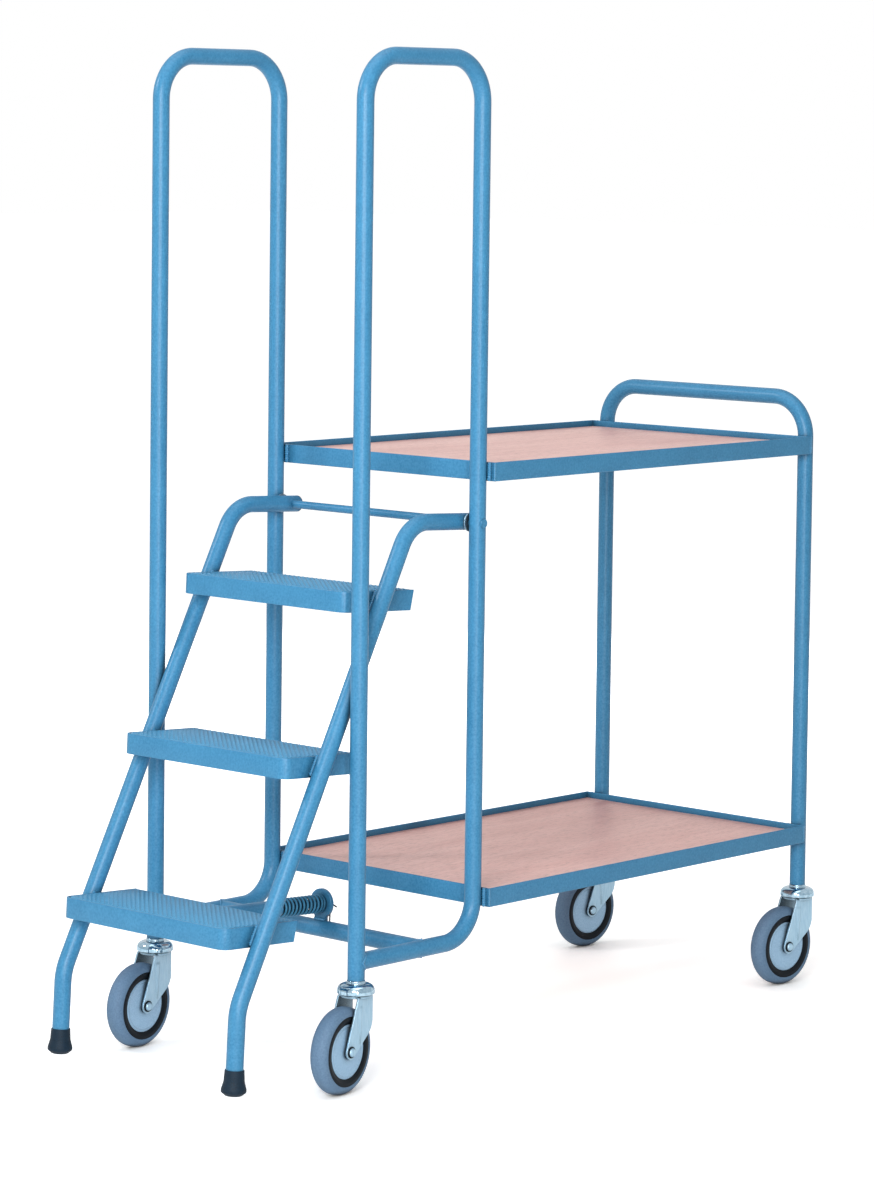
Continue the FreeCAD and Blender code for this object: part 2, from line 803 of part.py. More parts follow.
def biarc(start, start_way, end, end_way):
    """Two tangent arcs from one point and direction to another."""
    gap = end - start
    ways = start_way + end_way
    twist = 2 * (1 - start_way.dot(end_way))
    along = gap.dot(ways)
    reach = (math.sqrt(along * along + twist * gap.dot(gap)) - along) / twist
    first = start + start_way * reach
    second = end - end_way * reach
    middle = (first + second) * 0.5
    return [arc_between(start, first, middle), arc_between(middle, second, end)]


def arc_between(start, corner, end):
    chord_middle = (start + end) * 0.5
    rise = corner - chord_middle
    half = (end - start).Length / 2
    radius = half * (corner - start).Length / rise.Length
    bulge = radius - math.sqrt(radius * radius - half * half)
    return Part.Arc(start, chord_middle + rise.normalize() * bulge, end).toShape()


def make_spring():
    wire = number("spring_wire")
    radius = (number("spring_diameter") - wire) / 2
    closed_pitch = wire + number("spring_end_gap")
    room = number("spring_length") - wire - 2 * closed_pitch
    open_turns = round(room / number("spring_pitch"))
    pitch = room / open_turns
    quarters = 4 * (open_turns + 2)

    def place_at(quarter):
        turns = quarter / 4
        ends = min(turns, 1) + max(turns - 1 - open_turns, 0)
        return wire / 2 + closed_pitch * ends + pitch * min(max(turns - 1, 0), open_turns)

    points = []
    ways = []
    for quarter in range(quarters + 1):
        turn = quarter * math.pi / 2
        points.append(helix_point(radius, turn, place_at(quarter)))
        at_end = quarter in (0, quarters)
        climb = 0 if at_end else (place_at(quarter + 1) - place_at(quarter - 1)) / math.pi
        round_way = helix_point(radius, turn + math.pi / 2, 0)
        ways.append((round_way + FreeCAD.Vector(climb, 0, 0)).normalize())
    edges = [Part.LineSegment(points[0] - ways[0] * wire, points[0]).toShape()]
    for quarter in range(quarters):
        edges += biarc(points[quarter], ways[quarter], points[quarter + 1], ways[quarter + 1])
    edges.append(Part.LineSegment(points[-1], points[-1] + ways[-1] * wire).toShape())
    path = Part.Wire(edges)
    section = Part.Wire(Part.makeCircle(wire / 2, points[0] - ways[0] * wire, ways[0]))
    samples_per_quarter = 12
    samples = path.discretize(Number=quarters * samples_per_quarter)
    step = path.Length / (len(samples) - 1)
    apart = math.ceil(math.pi * radius / step)
    least = min(
        samples[i].distanceToPoint(samples[j])
        for i in range(len(samples))
        for j in range(i + apart, len(samples))
    )
    print(f"spring turns {open_turns + 2}, least gap to itself {least - wire:.2f} mm")
    spring = doc.addObject("Part::Feature", "step_spring")
    spring.Label = "step_spring"
    spring.Shape = path.makePipeShell([section], True, False)
    spring.Placement = lifted().multiply(moved(x=spring_start, z=guide_height))
    return keep(spring)


make_spring()


# Castors: stems, dust cups and ball races stay with the frame; the forks swivel under them
castors = {
    "front_right": ("0", f"-{hoop_y}", "front_right_turn"),
    "front_left": ("0", hoop_y, "front_left_turn"),
    "rear_right": (handle_x, "-handle_spacing / 2", "rear_right_turn"),
    "rear_left": (handle_x, "handle_spacing / 2", "rear_left_turn"),
}
cup_bottom = "(castor_height - cup_drop)"
king_radius = "(king_pin_diameter / 2)"


def make_stem(corner):
    body = new_body(f"{corner}_stem")
    plug = f"({tube_bore} / 2 - fit_clearance)"
    head_top = f"({crown_bottom} - weld_gap)"
    shell = outline(body, "XZ_Plane", [
        ("0", f"{head_top} - king_pin_head"),
        ("king_pin_head_diameter / 2", f"{head_top} - king_pin_head", "king_pin_head / 2"),
        ("king_pin_head_diameter / 2", head_top),
        (king_radius, head_top),
        (king_radius, "castor_height"),
        (plug, "castor_height"),
        (plug, "castor_height + stem_length"),
        ("0", "castor_height + stem_length"),
    ])
    revolve(body, shell, "V_Axis")
    return body


def make_cup(corner):
    body = new_body(f"{corner}_cup")
    rim = "(cup_diameter / 2)"
    roof = "(castor_height - weld_gap - cup_collar_height)"
    hole = f"({king_radius} + fit_clearance)"
    shell = outline(body, "XZ_Plane", [
        (hole, f"{roof} - cup_wall"),
        (f"{rim} - cup_wall", f"{roof} - cup_wall", "cup_shoulder_radius - cup_wall"),
        (f"{rim} - cup_wall", cup_bottom),
        (rim, cup_bottom),
        (rim, roof, "cup_shoulder_radius"),
        ("cup_collar_diameter / 2", roof),
        ("cup_collar_diameter / 2", "castor_height - weld_gap"),
        (hole, "castor_height - weld_gap"),
    ])
    revolve(body, shell, "V_Axis")
    return body


def make_race(corner):
    body = new_body(f"{corner}_race")
    outer = "(cup_diameter / 2 - cup_shoulder_radius)"
    roof = "(castor_height - 2 * weld_gap - cup_collar_height - cup_wall)"
    shell = outline(body, "XZ_Plane", [
        (f"{king_radius} + fit_clearance", f"{crown_top} + weld_gap"),
        (outer, f"{crown_top} + weld_gap"),
        (outer, roof),
        (f"{king_radius} + fit_clearance", roof),
    ])
    revolve(body, shell, "V_Axis")
    return body


# Fork: a folded and tapered U with a round pan under the dust cup and a tapered rib on each leg
def make_fork(corner):
    body = new_body(f"{corner}_fork")
    side = outline(body, "XZ_Plane", [
        ("fork_crown_front", crown_top),
        ("-fork_crown_back", crown_top),
        ("-castor_trail", axle_height, "fork_end_radius", "centre"),
        ("fork_crown_front", "fork_heel_height", "fork_heel_radius"),
    ])
    pad(body, side, f"2 * {fork_half}", side="Symmetric")
    folded = outline(body, "YZ_Plane", [
        (f"-{fork_half} - cut_overrun", "-cut_overrun"),
        (f"{fork_half} + cut_overrun", "-cut_overrun"),
        (f"{fork_half} + cut_overrun", f"{crown_top} + cut_overrun"),
        (f"-{fork_half} - cut_overrun", f"{crown_top} + cut_overrun"),
    ])
    draw_run(folded, [
        (f"-{fork_half}", "0"),
        ("-fork_inner_width / 2", "0"),
        ("-fork_inner_width / 2", crown_bottom, "fork_bend_radius - fork_thickness"),
        ("fork_inner_width / 2", crown_bottom, "fork_bend_radius - fork_thickness"),
        ("fork_inner_width / 2", "0"),
        (fork_half, "0"),
        (fork_half, crown_top, "fork_bend_radius"),
        (f"-{fork_half}", crown_top, "fork_bend_radius"),
    ])
    pocket(body, folded)
    pan = new_sketch(body, "XY_Plane", crown_top)
    draw_circle(pan, "0", "0", "fork_pan_diameter")
    pad(body, pan, "fork_thickness", reverse=True)
    skirt = new_sketch(body, "XY_Plane", crown_top)
    draw_circle(skirt, "0", "0", "fork_pan_diameter")
    draw_circle(skirt, "0", "0", "fork_pan_diameter - 2 * fork_pan_wall")
    pad(body, skirt, "fork_pan_depth", reverse=True)
    for sign in ("", "-"):
        rib = new_sketch(body, "XZ_Plane", f"{sign}{fork_half}")
        draw_run(rib, [
            ("-fork_rib_place - fork_rib_width / 2", "fork_rib_top", "fork_rib_round"),
            ("-fork_rib_place - fork_rib_tip / 2", "fork_rib_bottom", "fork_rib_round"),
            ("-fork_rib_place + fork_rib_tip / 2", "fork_rib_bottom", "fork_rib_round"),
            ("-fork_rib_place + fork_rib_width / 2", "fork_rib_top", "fork_rib_round"),
        ])
        pad(body, rib, "fork_rib_height", reverse=sign == "-")
    bore(body, "XY_Plane", "0", "0", "king_pin_diameter + 2 * fit_clearance")
    bore(body, "XZ_Plane", "-castor_trail", axle_height, "axle_diameter + 2 * fit_clearance")
    return body


# Axle: bolt with a domed head, hexagon nut and the sleeve that the hub turns on
def hexagon(sketch, across):
    """Six sides about the origin, flats across the given size."""
    flat = f"({across} / 2)"
    point = f"({across} / sqrt(3))"
    draw_run(sketch, [
        (point, "0"),
        (f"{point} / 2", flat),
        (f"-{point} / 2", flat),
        (f"-{point}", "0"),
        (f"-{point} / 2", f"-{flat}"),
        (f"{point} / 2", f"-{flat}"),
    ])


def make_axle(corner):
    bolt = new_body(f"{corner}_bolt")
    shank = new_sketch(bolt, "XZ_Plane", f"{fork_half} + weld_gap")
    draw_circle(shank, "0", "0", "axle_diameter")
    pad(bolt, shank, f"2 * {fork_half} + 2 * weld_gap + axle_nut + axle_thread_end", reverse=True)
    under_head = f"-({fork_half} + weld_gap)"
    head = outline(bolt, "YZ_Plane", [
        (under_head, "0"),
        (under_head, "axle_head_diameter / 2"),
        (f"{under_head} - axle_head", "axle_head_diameter / 2", "axle_head_round"),
        (f"{under_head} - axle_head", "0"),
    ])
    revolve(bolt, head, "H_Axis")
    nut = new_body(f"{corner}_nut")
    flats = new_sketch(nut, "XZ_Plane", f"-{fork_half} - weld_gap")
    hexagon(flats, "axle_nut_across")
    draw_circle(flats, "0", "0", "axle_diameter + 2 * fit_clearance")
    pad(nut, flats, "axle_nut", reverse=True)
    sleeve = new_body(f"{corner}_sleeve")
    ring = new_sketch(sleeve, "XZ_Plane")
    draw_circle(ring, "0", "0", sleeve_outer)
    draw_circle(ring, "0", "0", "axle_diameter + 2 * fit_clearance")
    pad(sleeve, ring, "fork_inner_width - 2 * weld_gap", side="Symmetric")
    return [bolt, nut, sleeve]


def make_hub(corner):
    body = new_body(f"{corner}_hub")
    rim = "(rim_diameter / 2)"
    recess = "(rim_width / 2 - rim_recess)"
    seat = "(cover_diameter / 2 + fit_clearance)"
    ledge = f"({recess} - cover_thickness - weld_gap)"
    boss = "(fork_inner_width / 2 - running_gap)"
    half = [
        (boss, f"{sleeve_outer} / 2 + fit_clearance"),
        (boss, "hub_boss_diameter / 2"),
        ("hub_web / 2", "hub_boss_diameter / 2"),
        ("hub_web / 2", f"{seat} - rim_lip"),
        (ledge, f"{seat} - rim_lip"),
        (ledge, seat),
        (recess, seat),
        ("rim_width / 2", f"{rim} - rim_lip"),
        ("rim_width / 2", rim),
    ]
    other = [(f"-{y}", radius) for y, radius in reversed(half)]
    shell = outline(body, "YZ_Plane", half + other)
    revolve(body, shell, "H_Axis")
    return body


def make_tyre(corner):
    body = new_body(f"{corner}_tyre")
    seat = "(rim_diameter / 2 + weld_gap)"
    deepest = f"{axle_height} - {seat} - fit_clearance"
    crown = f"min(tyre_crown_radius; {deepest}; tyre_width / 2 - fit_clearance)"
    shell = outline(body, "YZ_Plane", [
        ("-tyre_width / 2", seat),
        ("tyre_width / 2", seat),
        ("tyre_width / 2", axle_height, crown),
        ("-tyre_width / 2", axle_height, crown),
    ])
    revolve(body, shell, "H_Axis")
    return body


def make_cover(corner, hand, sign):
    body = new_body(f"{corner}_{hand}_cover")
    seat = "(rim_width / 2 - rim_recess - cover_thickness)"
    hole = "(hub_boss_diameter / 2 + running_gap)"
    shell = outline(body, "YZ_Plane", [
        (f"{sign}{seat}", "cover_diameter / 2"),
        (f"{sign}({seat} + cover_thickness)", "cover_diameter / 2"),
        (f"{sign}({seat} + cover_thickness + cover_dish)", hole),
        (f"{sign}({seat} + cover_dish)", hole),
    ])
    revolve(body, shell, "H_Axis")
    return body


stems = []
cups = []
races = []
for corner, (x, y, turn) in castors.items():
    for parts, make in ((stems, make_stem), (cups, make_cup), (races, make_race)):
        parts.append(make(corner))
        place(parts[-1], x, y)
    fork = make_fork(corner)
    place(fork, x, y, turn=turn)
    keep(fork)
    hub_place = fork.Placement.multiply(moved(x="-castor_trail", z=axle_height))
    axle = make_axle(corner)
    covers = [make_cover(corner, "right", "-"), make_cover(corner, "left", "")]
    hub = make_hub(corner)
    tyre = make_tyre(corner)
    for piece in axle + covers + [hub, tyre]:
        piece.Placement = hub_place
    keep(hub)
    keep(tyre)
    keep(join(f"{corner}_axle", axle))
    keep(join(f"{corner}_covers", covers))
keep(join("castor_stems", stems))
keep(join("castor_cups", cups))
keep(join("swivel_races", races))

# The origin is on the floor under the middle of the whole trolley
doc.recompute()
box = FreeCAD.BoundBox()
for piece in pieces:
    box.add(piece.Shape.optimalBoundingBox(False, False))
to_origin = FreeCAD.Placement(FreeCAD.Vector(-box.Center.x, -box.Center.y, -box.ZMin), FreeCAD.Rotation())
for piece in pieces:
    piece.Placement = to_origin.multiply(piece.Placement)
doc.recompute()

for item in doc.Objects:
    if "Invalid" in item.State or "Error" in item.State:
        raise RuntimeError(f"{item.Name} failed: {item.State}")
for piece in pieces:
    if piece.Shape.isNull() or not piece.Shape.isValid():
        raise RuntimeError(f"{piece.Label} has no valid shape")

os.makedirs("parts", exist_ok=True)
for piece in pieces:
    piece.Shape.exportStep(f"parts/{piece.Label}.step")
print(f"{len(pieces)} pieces written")
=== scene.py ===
import json
import math

import bmesh
import bpy
import numpy as np
from mathutils import Matrix, Vector


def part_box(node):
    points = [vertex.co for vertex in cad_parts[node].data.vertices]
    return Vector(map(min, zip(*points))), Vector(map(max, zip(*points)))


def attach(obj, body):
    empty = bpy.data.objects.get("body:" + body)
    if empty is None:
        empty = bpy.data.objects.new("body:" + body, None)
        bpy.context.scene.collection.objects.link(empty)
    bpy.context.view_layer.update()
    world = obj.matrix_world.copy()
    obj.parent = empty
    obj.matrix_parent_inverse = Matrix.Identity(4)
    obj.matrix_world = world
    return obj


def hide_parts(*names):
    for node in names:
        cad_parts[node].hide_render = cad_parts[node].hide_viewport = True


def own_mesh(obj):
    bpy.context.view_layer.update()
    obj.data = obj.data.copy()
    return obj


# Order picking trolley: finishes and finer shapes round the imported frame, in metres
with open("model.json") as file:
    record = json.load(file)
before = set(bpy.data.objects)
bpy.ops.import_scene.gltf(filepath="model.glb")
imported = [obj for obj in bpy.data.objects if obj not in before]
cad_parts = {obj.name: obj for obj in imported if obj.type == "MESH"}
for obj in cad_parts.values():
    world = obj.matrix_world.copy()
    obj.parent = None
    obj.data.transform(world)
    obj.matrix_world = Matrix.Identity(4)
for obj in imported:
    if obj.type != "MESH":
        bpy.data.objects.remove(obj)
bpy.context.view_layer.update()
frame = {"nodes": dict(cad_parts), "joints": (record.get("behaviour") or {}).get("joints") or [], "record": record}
record = frame["record"]
joints = {joint["name"]: joint for joint in frame["joints"]}
bodyOf = {node: body for body, nodes in record["behaviour"]["bodies"].items() for node in nodes}
slotOf = {row["node"]: row["material_slot"] for row in record["subparts"]}
print("frame loaded:", len(frame["nodes"]), "nodes")

# Finishes: colours follow noise, and recesses, found by ambient occlusion, are painted darker: painted shade
noiseSpan = (0.3, 0.7)  # most of a noise lies between these
recessRays = 4


def linear(hexColour):  # sRGB hex to linear light
    srgb = np.array([int(hexColour[i:i + 2], 16) / 255 for i in (1, 3, 5)])
    light = np.where(srgb <= 0.04045, srgb / 12.92, ((srgb + 0.055) / 1.055) ** 2.4)
    return (*light, 1.0)


def addNode(tree, kind, settings=None, links=None):
    node = tree.nodes.new("ShaderNode" + kind)
    for key, value in (settings or {}).items():
        if key == "stops":  # a colour ramp's places and colours
            for element, (place, colour) in zip(node.color_ramp.elements, value):
                element.position = place
                element.color = linear(colour)
        elif key in node.inputs:
            node.inputs[key].default_value = value
        else:
            setattr(node, key, value)
    for socket, source in (links or {}).items():  # a node stands for its first output
        tree.links.new(getattr(source, "outputs", [source])[0], node.inputs[socket])
    return node


def newMaterial(name):
    material = bpy.data.materials.new(name)
    material.use_nodes = True
    tree = material.node_tree
    tree.nodes.clear()
    return material, tree, addNode(tree, "TexCoord").outputs["Object"]


# What every finish ends with: roughness that follows a noise, relief that follows a height, and the shader
def closeMaterial(tree, look, colour, noise, height, settings):
    smoothest, roughest = look["rough"]
    rough = addNode(tree, "MapRange", {"To Min": smoothest, "To Max": roughest}, {"Value": noise})
    bump = addNode(tree, "Bump", {"Strength": look["strength"], "Distance": look["depth"],
                                  "invert": look.get("sunk", False)}, {"Height": height})
    shader = addNode(tree, "BsdfPrincipled", settings,
                     {"Base Color": colour, "Roughness": rough, "Normal": bump})
    addNode(tree, "OutputMaterial", links={"Surface": shader})


# Powder coat, sprayed and stoved on steel: a soft sheen over orange peel, deeper where it went on thin, with
# painted shade in the recesses; the peel's flecks are drawn coarser than real so that they show
coat = {"film": ("#30759D", "#3D85AE"), "cloud": 0.05, "cloudDetail": 5, "cloudRough": 0.65,
        "flecks": ("#276B94", "#488CB4"), "fleck": 0.0032, "fleckShare": 0.5, "fineDetail": 2,
        "peel": 0.0016, "depth": 0.00006, "strength": 0.5, "rough": (0.5, 0.7), "specular": 0.1, "gloss": 0.5,
        "glossRough": 0.34, "recess": 0.016, "grime": "#17394E", "grimeSpan": (0.25, 0.95)}
coats = {
    "blue_powder_coat": coat,
    # Treads, paled and dulled by shoes
    "scuffed_powder_coat": {**coat, "film": ("#498FB9", "#5BA2CA"), "flecks": ("#3E84AD", "#68ABD2"),
                            "gloss": 0.08},
    # Weld beads stand proud, so they get no painted recess shade, and a full coat of gloss to catch the light
    "weld_powder_coat": {**coat, "gloss": 1.0, "recess": 0},
}


def powderCoat(name, look):
    material, tree, place = newMaterial(name)
    cloud = addNode(tree, "TexNoise", {"Scale": 1 / look["cloud"], "Detail": look["cloudDetail"],
                                       "Roughness": look["cloudRough"]}, {"Vector": place})
    fleck, peel = (addNode(tree, "TexNoise", {"Scale": 1 / look[size], "Detail": look["fineDetail"]},
                           {"Vector": place}) for size in ("fleck", "peel"))
    film = addNode(tree, "ValToRGB", {"stops": zip(noiseSpan, look["film"])}, {"Fac": cloud})
    flecks = addNode(tree, "ValToRGB", {"stops": zip(noiseSpan, look["flecks"])}, {"Fac": fleck})
    colour = addNode(tree, "MixRGB", {"Fac": look["fleckShare"]}, {"Color1": film, "Color2": flecks})
    if look["recess"]:
        # painted shade: ambient occlusion mixes the coat towards a dark blue in the recesses
        recess = addNode(tree, "AmbientOcclusion", {"samples": recessRays, "Distance": look["recess"]})
        fullShadeAO, noShadeAO = look["grimeSpan"]
        unshaded = addNode(tree, "MapRange", {"From Min": fullShadeAO, "From Max": noShadeAO},
                       {"Value": recess.outputs["AO"]})
        colour = addNode(tree, "MixRGB", {"Color1": linear(look["grime"])}, {"Fac": unshaded, "Color2": colour})
    closeMaterial(tree, look, colour, cloud, peel,
                  {"Specular IOR Level": look["specular"], "Coat Weight": look["gloss"],
                   "Coat Roughness": look["glossRough"]})
    return material


# Rotary-cut red hardwood plywood under thin varnish: long drawn-out figure, short dark pores, a low sheen;
# the pores are drawn coarser than real so that they show
plywood = {"wood": ("#DDA79E", "#F0C6BE"), "figure": 0.045, "stretch": 9, "figureDetail": 8,
           "figureRough": 0.7, "figureWarp": 0.6, "figureSpan": (0.32, 0.68), "pore": "#96645B",
           "poreWidth": 0.0014, "poreStretch": 9, "poreDetail": 3, "poreSpan": (0.52, 0.72), "poreShare": 0.6,
           "depth": 0.00012, "strength": 0.6, "sunk": True, "rough": (0.36, 0.52)}


def varnishedPlywood(name, look):
    material, tree, place = newMaterial(name)
    along, fine = (addNode(tree, "Mapping", {"Scale": (1 / look[key], 1, 1)}, {"Vector": place})
                   for key in ("stretch", "poreStretch"))
    figure = addNode(tree, "TexNoise", {"Scale": 1 / look["figure"], "Detail": look["figureDetail"],
                                        "Roughness": look["figureRough"], "Distortion": look["figureWarp"]},
                     {"Vector": along})
    wood = addNode(tree, "ValToRGB", {"stops": zip(look["figureSpan"], look["wood"])}, {"Fac": figure})
    pores = addNode(tree, "TexNoise", {"Scale": 1 / look["poreWidth"], "Detail": look["poreDetail"]},
                    {"Vector": fine})
    none, full = look["poreSpan"]
    mask = addNode(tree, "MapRange", {"From Min": none, "From Max": full, "To Max": look["poreShare"]},
                   {"Value": pores})
    colour = addNode(tree, "MixRGB", {"Color2": linear(look["pore"])}, {"Fac": mask, "Color1": wood})
    closeMaterial(tree, look, colour, figure, mask, {})
    return material


# Metal and moulded finishes: two close colours in fine grain, with the roughness and relief that it brings
plainGrain = {"stretch": 1, "detail": 4, "fineness": 0.6, "metallic": 0.0, "specular": 0.5, "depth": 0.00001,
              "strength": 0.5, "recess": 0.01}
grained = {
    # Bright zinc plate on pressed steel: bluish and satin, with faint streaks down the pressing; its long
    # recess reach paints shade inside the forks
    "zinc_plate": {"shades": ("#91B2C8", "#A6C3D4"), "grain": 0.0022, "stretch": 7, "metallic": 0.85,
                   "rough": (0.36, 0.50), "recess": 0.045},
    # Zinc plate on a rolled disc, with the fine frosting of thin sheet; greyer and darker than the forks' zinc,
    # painted shade
    "rolled_zinc_disc": {"shades": ("#82A2BD", "#9CBBD2"), "grain": 0.0018, "metallic": 0.7,
                         "rough": (0.40, 0.56)},
    # Chromed pressing: mirror bright, only just veiled by polishing; its shades are set darker and more mottled
    # than polished chrome, a painted reflection of darker surroundings
    "bright_chrome": {"shades": ("#7C9DB1", "#B3CAD8"), "grain": 0.006, "metallic": 1.0,
                      "rough": (0.07, 0.15)},
    # Moulded black rubber: a dull bloom and fine mould texture
    "black_rubber": {"shades": ("#071724", "#112838"), "grain": 0.0014, "specular": 0.2, "rough": (0.5, 0.7),
                     "depth": 0.00005},
    # Glass-filled nylon moulding: near black, satin
    "black_plastic": {"shades": ("#04090E", "#0B141C"), "grain": 0.0012, "specular": 0.12,
                      "rough": (0.40, 0.56), "depth": 0.00003},
    # Non-marking grey rubber tread: matt, slightly scuffed
    "grey_rubber": {"shades": ("#506C88", "#617E99"), "grain": 0.0026, "rough": (0.6, 0.8), "depth": 0.00004},
    # Lacquered spring wire: smooth drawn steel, one clear highlight along each turn
    "spring_steel": {"shades": ("#2C6887", "#397A9F"), "grain": 0.008, "metallic": 0.1, "specular": 0.25,
                     "rough": (0.42, 0.52), "depth": 0.000004},
    # Oiled steel rod, dark so that the gaps of the spring read as dark: painted shade in the gaps
    "oiled_steel": {"shades": ("#12303F", "#1D4358"), "grain": 0.004, "metallic": 0.5, "rough": (0.4, 0.6)},
}


def grainedFinish(name, look):
    material, tree, place = newMaterial(name)
    drawn = addNode(tree, "Mapping", {"Scale": (1, 1, 1 / look["stretch"])}, {"Vector": place})
    grain = addNode(tree, "TexNoise", {"Scale": 1 / look["grain"], "Detail": look["detail"],
                                       "Roughness": look["fineness"]}, {"Vector": drawn})
    shade = addNode(tree, "ValToRGB", {"stops": zip(noiseSpan, look["shades"])}, {"Fac": grain})
    # painted shade: ambient occlusion darkens the grain colour in the recesses
    grime = addNode(tree, "AmbientOcclusion", {"samples": recessRays, "Distance": look["recess"]},
                    {"Color": shade})
    closeMaterial(tree, look, grime, grain, grain,
                  {"Metallic": look["metallic"], "Specular IOR Level": look["specular"]})
    return material


finish = {name: grainedFinish(name, {**plainGrain, **look}) for name, look in grained.items()}
finish.update({name: powderCoat(name, look) for name, look in coats.items()})
finish["plywood"] = varnishedPlywood("varnished_plywood", plywood)
for node, item in frame["nodes"].items():
    item.data.materials.clear()
    item.data.materials.append(finish[slotOf[node]])
print("finishes:", len(finish))

# Driving places, read from the frame
pivot = np.array(joints["steps_tilt"]["pos_m"])
lift = math.radians(joints["steps_tilt"]["range_deg"][1])
hoopBox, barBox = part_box("right_hoop"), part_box("cross_bar")
tubeRadius = (hoopBox[1].y - hoopBox[0].y) / 2
barX, railHeight = (barBox[0].x + barBox[1].x) / 2, (barBox[0].z + barBox[1].z) / 2
fits = {"weld": 0.0001, "clear": 0.00005, "running": 0.0004}  # the gaps that the CAD leaves
wayX, wayY, wayZ = np.eye(3)


# Surfaces: grids of points worked out as whole arrays; a sheet is (grid, loopRows, loopCols)

def unit(vectors):
    return vectors / np.linalg.norm(vectors, axis=-1, keepdims=True)


def asPoints(*parts):  # parts whose shapes fit each other, joined along a new last axis
    return np.stack(np.broadcast_arrays(*parts), axis=-1)


def fullTurn(count):
    return np.linspace(0, 2 * np.pi, count, endpoint=False)


# The step unit is drawn pressed down with level treads, then turned up about the pivot by the joint's travel
def raised(points):
    x, y, z = np.moveaxis(points - pivot, -1, 0)
    c, s = math.cos(lift), math.sin(lift)
    return pivot + asPoints(x * c + z * s, y, z * c - x * s)


def gridQuads(rows, cols, loopRows, loopCols):  # each quad joins a point to the next row and column
    i, j = np.ogrid[:rows if loopRows else rows - 1, :cols if loopCols else cols - 1]
    nextI, nextJ = (i + 1) % rows, (j + 1) % cols
    return asPoints(i * cols + j, i * cols + nextJ, nextI * cols + nextJ, nextI * cols + j).reshape(-1, 4)


def addObject(name, data):
    item = bpy.data.objects.new(name, data)
    bpy.context.scene.collection.objects.link(item)
    return item


mesher = {"weld": 1e-6, "sharpAngle": math.radians(34)}


def addPiece(name, sheets, like, replaces=True, look=None, slot=None):
    # like is the CAD node whose body and finish the piece takes
    points, quads, start = [], [], 0
    for grid, loopRows, loopCols in sheets:
        rows, cols = grid.shape[:2]
        points.append((raised(grid) if bodyOf[like] == "steps" else grid).reshape(-1, 3))
        quads.append(gridQuads(rows, cols, loopRows, loopCols) + start)
        start += rows * cols
    mesh = bpy.data.meshes.new(name)
    mesh.from_pydata(np.concatenate(points), [], np.concatenate(quads))
    shape = bmesh.new()
    shape.from_mesh(mesh)
    bmesh.ops.remove_doubles(shape, verts=shape.verts, dist=mesher["weld"])
    bmesh.ops.dissolve_degenerate(shape, edges=shape.edges, dist=mesher["weld"])
    bmesh.ops.holes_fill(shape, edges=shape.edges)
    bmesh.ops.recalc_face_normals(shape, faces=shape.faces)
    shape.to_mesh(mesh)
    shape.free()
    mesh.polygons.foreach_set("use_smooth", np.ones(len(mesh.polygons), bool))
    mesh.set_sharp_from_angle(angle=mesher["sharpAngle"])
    mesh.materials.append(finish[look or slotOf[like]])
    piece = addObject(name, mesh)
    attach(piece, bodyOf[like])
    slot or slotOf[like]
    if replaces:
        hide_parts(like)
    return piece


# Straight runs joined by arcs: an arc's centre lies on the corner's bisector, radius / cos(turn / 2) from it
def roundedRun(corners, radii, closed=False, pieces=12):
    corners = np.asarray(corners, float)
    count = len(corners)
    runs = [] if closed else [corners[:1]]
    for i, radius in zip(range(count) if closed else range(1, count - 1), radii):
        inward = unit(corners[i] - corners[i - 1])
        outward = unit(corners[(i + 1) % count] - corners[i])
        turn = math.acos(inward @ outward)
        centre = corners[i] + unit(outward - inward) * radius / math.cos(turn / 2)
        angle = np.linspace(-turn / 2, turn / 2, pieces + 1)[:, None]
        spoke = np.cos(angle) * unit(inward - outward) + np.sin(angle) * unit(inward + outward)
        runs.append(centre + radius * spoke)
    if not closed:
        runs.append(corners[-1:])
    return np.concatenate(runs)


def ringOf(radius, sides):
    return radius * asPoints(np.cos(fullTurn(sides)), np.sin(fullTurn(sides)))


# A ring carried along a path in one plane: point = path + u * side + v * plane normal, side square to both
def carry(path, ring, planeNormal):
    side = np.cross(planeNormal, unit(np.gradient(path, axis=0)))
    return path[:, None] + side[:, None] * ring[None, :, :1] + planeNormal * ring[None, :, 1:], False, True


# A profile of (along, radius) turned about an axis:
# point = centre + along * axis + radius * (cos a * across + sin a * up)
def turned(profile, centre, axis, sides=48, closed=False):
    profile = np.asarray(profile, float)
    isUpright = abs(axis[2]) > 0.5
    across = unit(np.cross(axis, wayX if isUpright else wayZ))
    spoke = ringOf(1, sides) @ np.stack([across, np.cross(axis, across)])
    grid = np.asarray(centre, float) + profile[None, :, :1] * axis + profile[None, :, 1:] * spoke[:, None]
    return grid, True, closed


def washerProfile(start, end, inner, outer, edge):
    corners = [(start, inner), (start, outer), (end, outer), (end, inner)]
    return roundedRun(corners, (edge,) * 4, closed=True, pieces=3)


# Weld beads: a small ring round each point of a seam, swollen once per ripple of the weld pool
weld = {"radius": 0.0029, "ringRadius": 0.0017, "legRadius": 0.0032, "cornerRadius": 0.0016, "set": 0.0072,
        "legSet": 0.0122, "ripple": 0.16, "pitch": 0.0034, "step": 0.0006, "sides": 10, "blunt": 12,
        "tip": 0.02, "ringPoints": 120}
frameSeams = []
stepSeams = []
ringCos, ringSin = ringOf(1, weld["ringPoints"]).T


